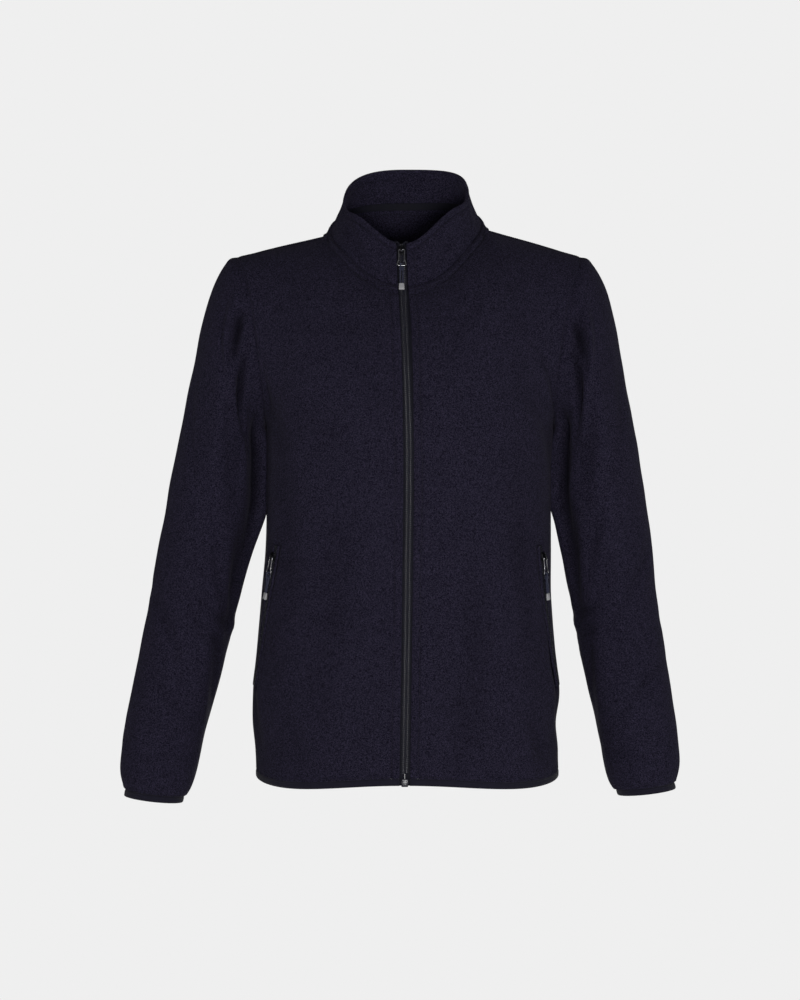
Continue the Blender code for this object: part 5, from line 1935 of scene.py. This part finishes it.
class JACKET_OT_pulls(Operator):
    """Make the three sliders with their bails, cords and tips"""

    bl_idname = "jacket.pulls"
    bl_label = "Sliders and pulls"

    def execute(self, context):
        for name in ("front", "pocket_left", "pocket_right"):
            place = self.hinge_frame(name)
            self.slider(name, place)
            self.bail(name, place)
            self.cord(name, place)
            self.tip(name, place)
        return {"FINISHED"}

    def hinge_frame(self, name):
        """A placing with X along the hinge, Z up the zip and Y into the jacket."""
        joint = next(j for j in frame["joints"] if j["name"] == name + "_pull_hinge")
        if name == "front":
            points, _ = zip_line()
            up = at_height(points, unit(np.gradient(points, axis=0)), joint["pos_m"][2])
        else:
            line, _, _ = pocket_line(1 if name == "pocket_left" else -1)
            up = line[-1] - line[-11]
        x = Vector([-v for v in joint["axis"]]).normalized()
        z = Vector(up)
        z = (z - x * z.dot(x)).normalized()
        return placing(joint["pos_m"], x, z.cross(x), z)

    def slider(self, name, place):
        """The slider: a shield-shaped plate with two ribs and a bridge; the front slider has a
        second plate behind.
        """
        mesh = bmesh.new()
        plates = [(BRIDGE_HOLE + SLIDER_THICK / 2, SLIDER_THICK, 1.0)]
        if name == "front":
            plates.append((BRIDGE_HOLE + SLIDER_THICK + 3.1 * MM, 1.0 * MM, 0.96))
        for depth, thick, share in plates:
            self.plate(mesh, depth, thick, share)
        for side in SIDES:
            spot = (side * 3.55 * MM, BRIDGE_HOLE + SLIDER_THICK + 0.35 * MM, -0.4 * MM)
            block(mesh, SLIDER_RIB, 0.3 * MM, 2, side * SLIDER_RIB_LEAN, spot)
        bmesh.ops.transform(mesh, matrix=place, verts=mesh.verts)
        plate = linked(name + "_slider_plate", mesh)
        finish(plate, "metal", [name + "_slider"])
        foot = BRIDGE_HOLE + 0.5 * MM
        arch = [
            (0, foot, -4.1 * MM), (0, 0.2 * MM, -3.7 * MM), (0, -1.2 * MM, -2.4 * MM),
            (0, -BRIDGE_HOLE - 0.55 * MM, 0), (0, -1.3 * MM, 2.2 * MM), (0, 0.0, 3.4 * MM),
            (0, foot, 3.9 * MM),
        ]
        line = smooth_line(arch, 26)
        wide = np.broadcast_to([1.0, 0.0, 0.0], line.shape)
        high = unit(np.cross(wide, unit(np.gradient(line, axis=0))))
        title = name + "_slider_bridge"
        bridge = swept(title, line, wide, high, 1.35 * MM, 0.45 * MM, 12, square=0.6)
        bridge.data.transform(place)
        finish(bridge, "metal")

    def plate(self, mesh, depth, thick, share):
        """One plate of a slider, narrower at its foot, with round corners and soft rims."""
        verts = bmesh.ops.create_cube(mesh, size=1.0)["verts"]
        size = (SLIDER_WIDTH * share, thick, SLIDER_LENGTH * share)
        bmesh.ops.scale(mesh, vec=size, verts=verts)
        foot = [vert for vert in verts if vert.co.z < 0]
        bmesh.ops.scale(mesh, vec=(SLIDER_FOOT_SHARE, 1, 1), verts=foot)
        bmesh.ops.translate(mesh, vec=(0, depth, 0), verts=verts)
        upright = [
            edge for edge in edges_of(mesh, verts)
            if abs(edge.verts[0].co.y - edge.verts[1].co.y) > thick / 2
        ]
        rounded(mesh, upright, 2.2 * MM, 5)
        rims = [
            edge for edge in mesh.edges
            if edge.calc_face_angle(0) > RIM_FACE_ANGLE
            and all(abs(vert.co.y - depth) < thick for vert in edge.verts)
        ]
        rounded(mesh, rims, 0.35 * MM, 2)

    def bail(self, name, place):
        """The bail: a closed wire that hangs from the bridge and flares at its foot."""
        left = [(bend.out, 0, -bend.down) for bend in BAIL]
        right = [(-bend.out, 0, -bend.down) for bend in BAIL[-2:0:-1]]
        line = smooth_line(left + right, 110, closed=True)
        across, high = line_frames(line, (0.0, -1.0, 0.0), closed=True)
        bail = swept(name + "_bail_wire", line, across, high, BAIL_WIRE, BAIL_WIRE, 12, closed=True)
        bail.data.transform(place)
        finish(bail, "bright", [name + "_bail"], name + "_pull")

    def cord(self, name, place):
        """The cord: looped over the bail's foot, its two strands down to the tip."""
        reach = BAIL_WIRE + CLEAR + CORD_RADIUS
        wrap = []
        for turn in np.linspace(0, math.pi, 9):
            across = -CORD_WRAP_HALF * math.cos(turn)
            drop = math.sin(turn) * reach - BAIL_LENGTH
            wrap.append((across, -math.cos(turn) * reach, drop))
        down = [(bend.out, bend.lift, -BAIL_LENGTH - bend.down) for bend in CORD_STRAND]
        up = [(-bend.out, -bend.lift, -BAIL_LENGTH - bend.down) for bend in CORD_STRAND[::-1]]
        line = smooth_line(up + wrap + down, 170)
        across, high = line_frames(line, (1.0, 0.1, 0.0))
        sides = 12
        turn = np.linspace(0, 2 * np.pi, sides + 1)[None, :]
        run = np.arange(len(line))[:, None]
        ply = 1 + 0.13 * np.cos(2 * turn - run * 0.42)
        cord = swept(
            name + "_cord_braid", line, across, high, CORD_RADIUS * 0.93, CORD_RADIUS * 0.93, sides,
            uv_scale=1000, scale=ply,
        )
        cord.data.transform(place)
        finish(cord, "cord", [name + "_cord"], name + "_pull")
        self.knot(name, place)

    def knot(self, name, place):
        """The binding turns of the cord below the bail's foot."""
        turns = 2.6
        t = np.linspace(0, 1, 90)
        angle = t * turns * 2 * np.pi
        drop = -BAIL_LENGTH - (2.6 + 2.6 * t) * MM
        swell = 1 + 0.12 * np.sin(np.pi * t)
        line = stacked(2.15 * MM * swell * np.cos(angle), 1.9 * MM * swell * np.sin(angle), drop)
        across, high = line_frames(line, (0.0, 0.0, 1.0))
        thin = CORD_KNOT_RADIUS
        knot = swept(name + "_cord_knot", line, across, high, thin, thin, 10, uv_scale=1000)
        knot.data.transform(place)
        finish(knot, "cord", (), name + "_pull")

    def tip(self, name, place):
        """The moulded tip over the cord's two ends, waisted and ribbed."""
        mesh = bmesh.new()
        block(mesh, TIP, 1.1 * MM, 4)
        for step in (-2, -1, 0, 1, 2):
            bmesh.ops.bisect_plane(
                mesh, geom=[*mesh.verts, *mesh.edges, *mesh.faces],
                plane_co=(0, 0, step * TIP_WAIST * MM), plane_no=(0, 0, 1),
            )
        for vert in mesh.verts:
            z = vert.co.z / MM
            share = TIP_WAIST_SHARE if abs(abs(z) - TIP_WAIST) < 0.05 else 1.0
            taper = 1.0 - TIP_TAPER * max(0.0, z) / 4.0
            vert.co.x *= share * taper
            vert.co.y *= share * taper
        drop = (0, 0, -BAIL_LENGTH - CORD_LENGTH - TIP.z / 2)
        bmesh.ops.translate(mesh, vec=drop, verts=mesh.verts)
        bmesh.ops.transform(mesh, matrix=place, verts=mesh.verts)
        tip = linked(name + "_tip_moulded", mesh)
        finish(tip, "tip", [name + "_tip"], name + "_pull")


class JACKET_OT_stitching(Operator):
    """Make the rows of topstitching"""

    bl_idname = "jacket.stitching"
    bl_label = "Topstitching"

    def execute(self, context):
        self.neck()
        self.zip_rows()
        self.shoulders()
        self.edges()
        return {"FINISHED"}

    def neck(self):
        """Twin rows on the band, and one row below the collar's rim."""
        seam, way = band_reach(240)
        rows = []
        for share in BAND_ROWS:
            places, normals = laid(seam + way * share, ["neck_band"])
            rows.append((places[2:-2], normals[2:-2]))
        stitch_rows("neck_band_stitches", rows, 0.10 * MM)
        place = np.linspace(0.018, 0.982, 240)
        high = collar_point(place, np.full(240, COLLAR_ROW))
        stitch_rows("collar_stitches", [laid(high, ["collar_cloth"])], 0.10 * MM)

    def zip_rows(self):
        """A row beside each edge of the front zip, up the fronts and the collar."""
        points, _ = zip_line()
        rows = []
        for side in SIDES:
            start = points + (side * (ZIP_GAP + ZIP_ROW), 0, 0)
            body = start[start[:, 2] < NECK.front_height - 9 * MM]
            body = body[body[:, 2] > HEM + 1 * MM]
            rows.append(laid(body, [front_cloth(side)]))
            collar = start[start[:, 2] > NECK.front_height + 3 * MM][:-5]
            rows.append(laid(collar, ["collar_cloth"]))
        stitch_rows("zip_stitches", rows)

    def shoulders(self):
        """Twin rows in front of each shoulder seam."""
        rows = []
        for side in SIDES:
            corner = neck_point(SEAM_ANGLE, side)
            end = shoulder_point(side)
            t = np.linspace(0.10, 0.985, 60)[:, None]
            seam = (corner + (end - corner) * t) * (side, 1, 1)
            for forward in SHOULDER_ROWS:
                reach = forward * (1 - 0.45 * t) * MM
                spots = seam + np.concatenate([np.zeros_like(t), -reach, -0.25 * reach], axis=1)
                rows.append(laid(spots, [front_cloth(side)]))
        stitch_rows("shoulder_stitches", rows)

    def edges(self):
        """A row above the hem's binding and above each cuff's."""
        rows = []
        for side in SIDES:
            faces = (("front", front_cloth(side), 0.02), ("back", "back_cloth", 0.0))
            for face, tree, first in faces:
                share = np.linspace(first, 0.98, 150)
                places = level_point(hem_height(share) + HEM_ROW, share, side, face)
                rows.append(laid(places * (side, 1, 1), [tree]))
        stitch_rows("hem_stitches", rows)
        turn = np.linspace(0, 1, 120)
        for side in SIDES:
            ring = sleeve_point(turn, np.full_like(turn, len(SLEEVE) - 1.35), side)
            cloth = "sleeve_" + hand(side) + "_cloth"
            stitch_rows("cuff_stitches_" + hand(side), [laid(ring, [cloth])])


class JACKET_PT_sidebar(Panel):
    """The jacket's sizes, colours and steps"""

    bl_idname = "JACKET_PT_sidebar"
    bl_label = "Fleece zip jacket"
    bl_space_type = "VIEW_3D"
    bl_region_type = "UI"
    bl_category = "Jacket"

    def draw(self, context):
        layout = self.layout
        for group in (context.scene.jacket_sizes, context.scene.jacket_colours):
            box = layout.box()
            for name in group.bl_rna.properties.keys():
                if name not in ("rna_type", "name"):
                    box.prop(group, name)
        for step in STEPS:
            layout.operator(step.bl_idname)


STEPS = (
    JACKET_OT_stage,
    JACKET_OT_body,
    JACKET_OT_sleeves,
    JACKET_OT_collar,
    JACKET_OT_bindings,
    JACKET_OT_front_zip,
    JACKET_OT_pockets,
    JACKET_OT_pulls,
    JACKET_OT_stitching,
)
CLASSES = (JacketSizes, JacketColours, *STEPS, JACKET_PT_sidebar)


def register():
    for item in CLASSES:
        bpy.utils.register_class(item)
    bpy.types.Scene.jacket_sizes = PointerProperty(type=JacketSizes)
    bpy.types.Scene.jacket_colours = PointerProperty(type=JacketColours)


def unregister():
    del bpy.types.Scene.jacket_colours
    del bpy.types.Scene.jacket_sizes
    for item in reversed(CLASSES):
        bpy.utils.unregister_class(item)


def main():
    register()
    for step in STEPS:
        group, name = step.bl_idname.split(".")
        getattr(getattr(bpy.ops, group), name)()


if __name__ == "__main__":
    main()
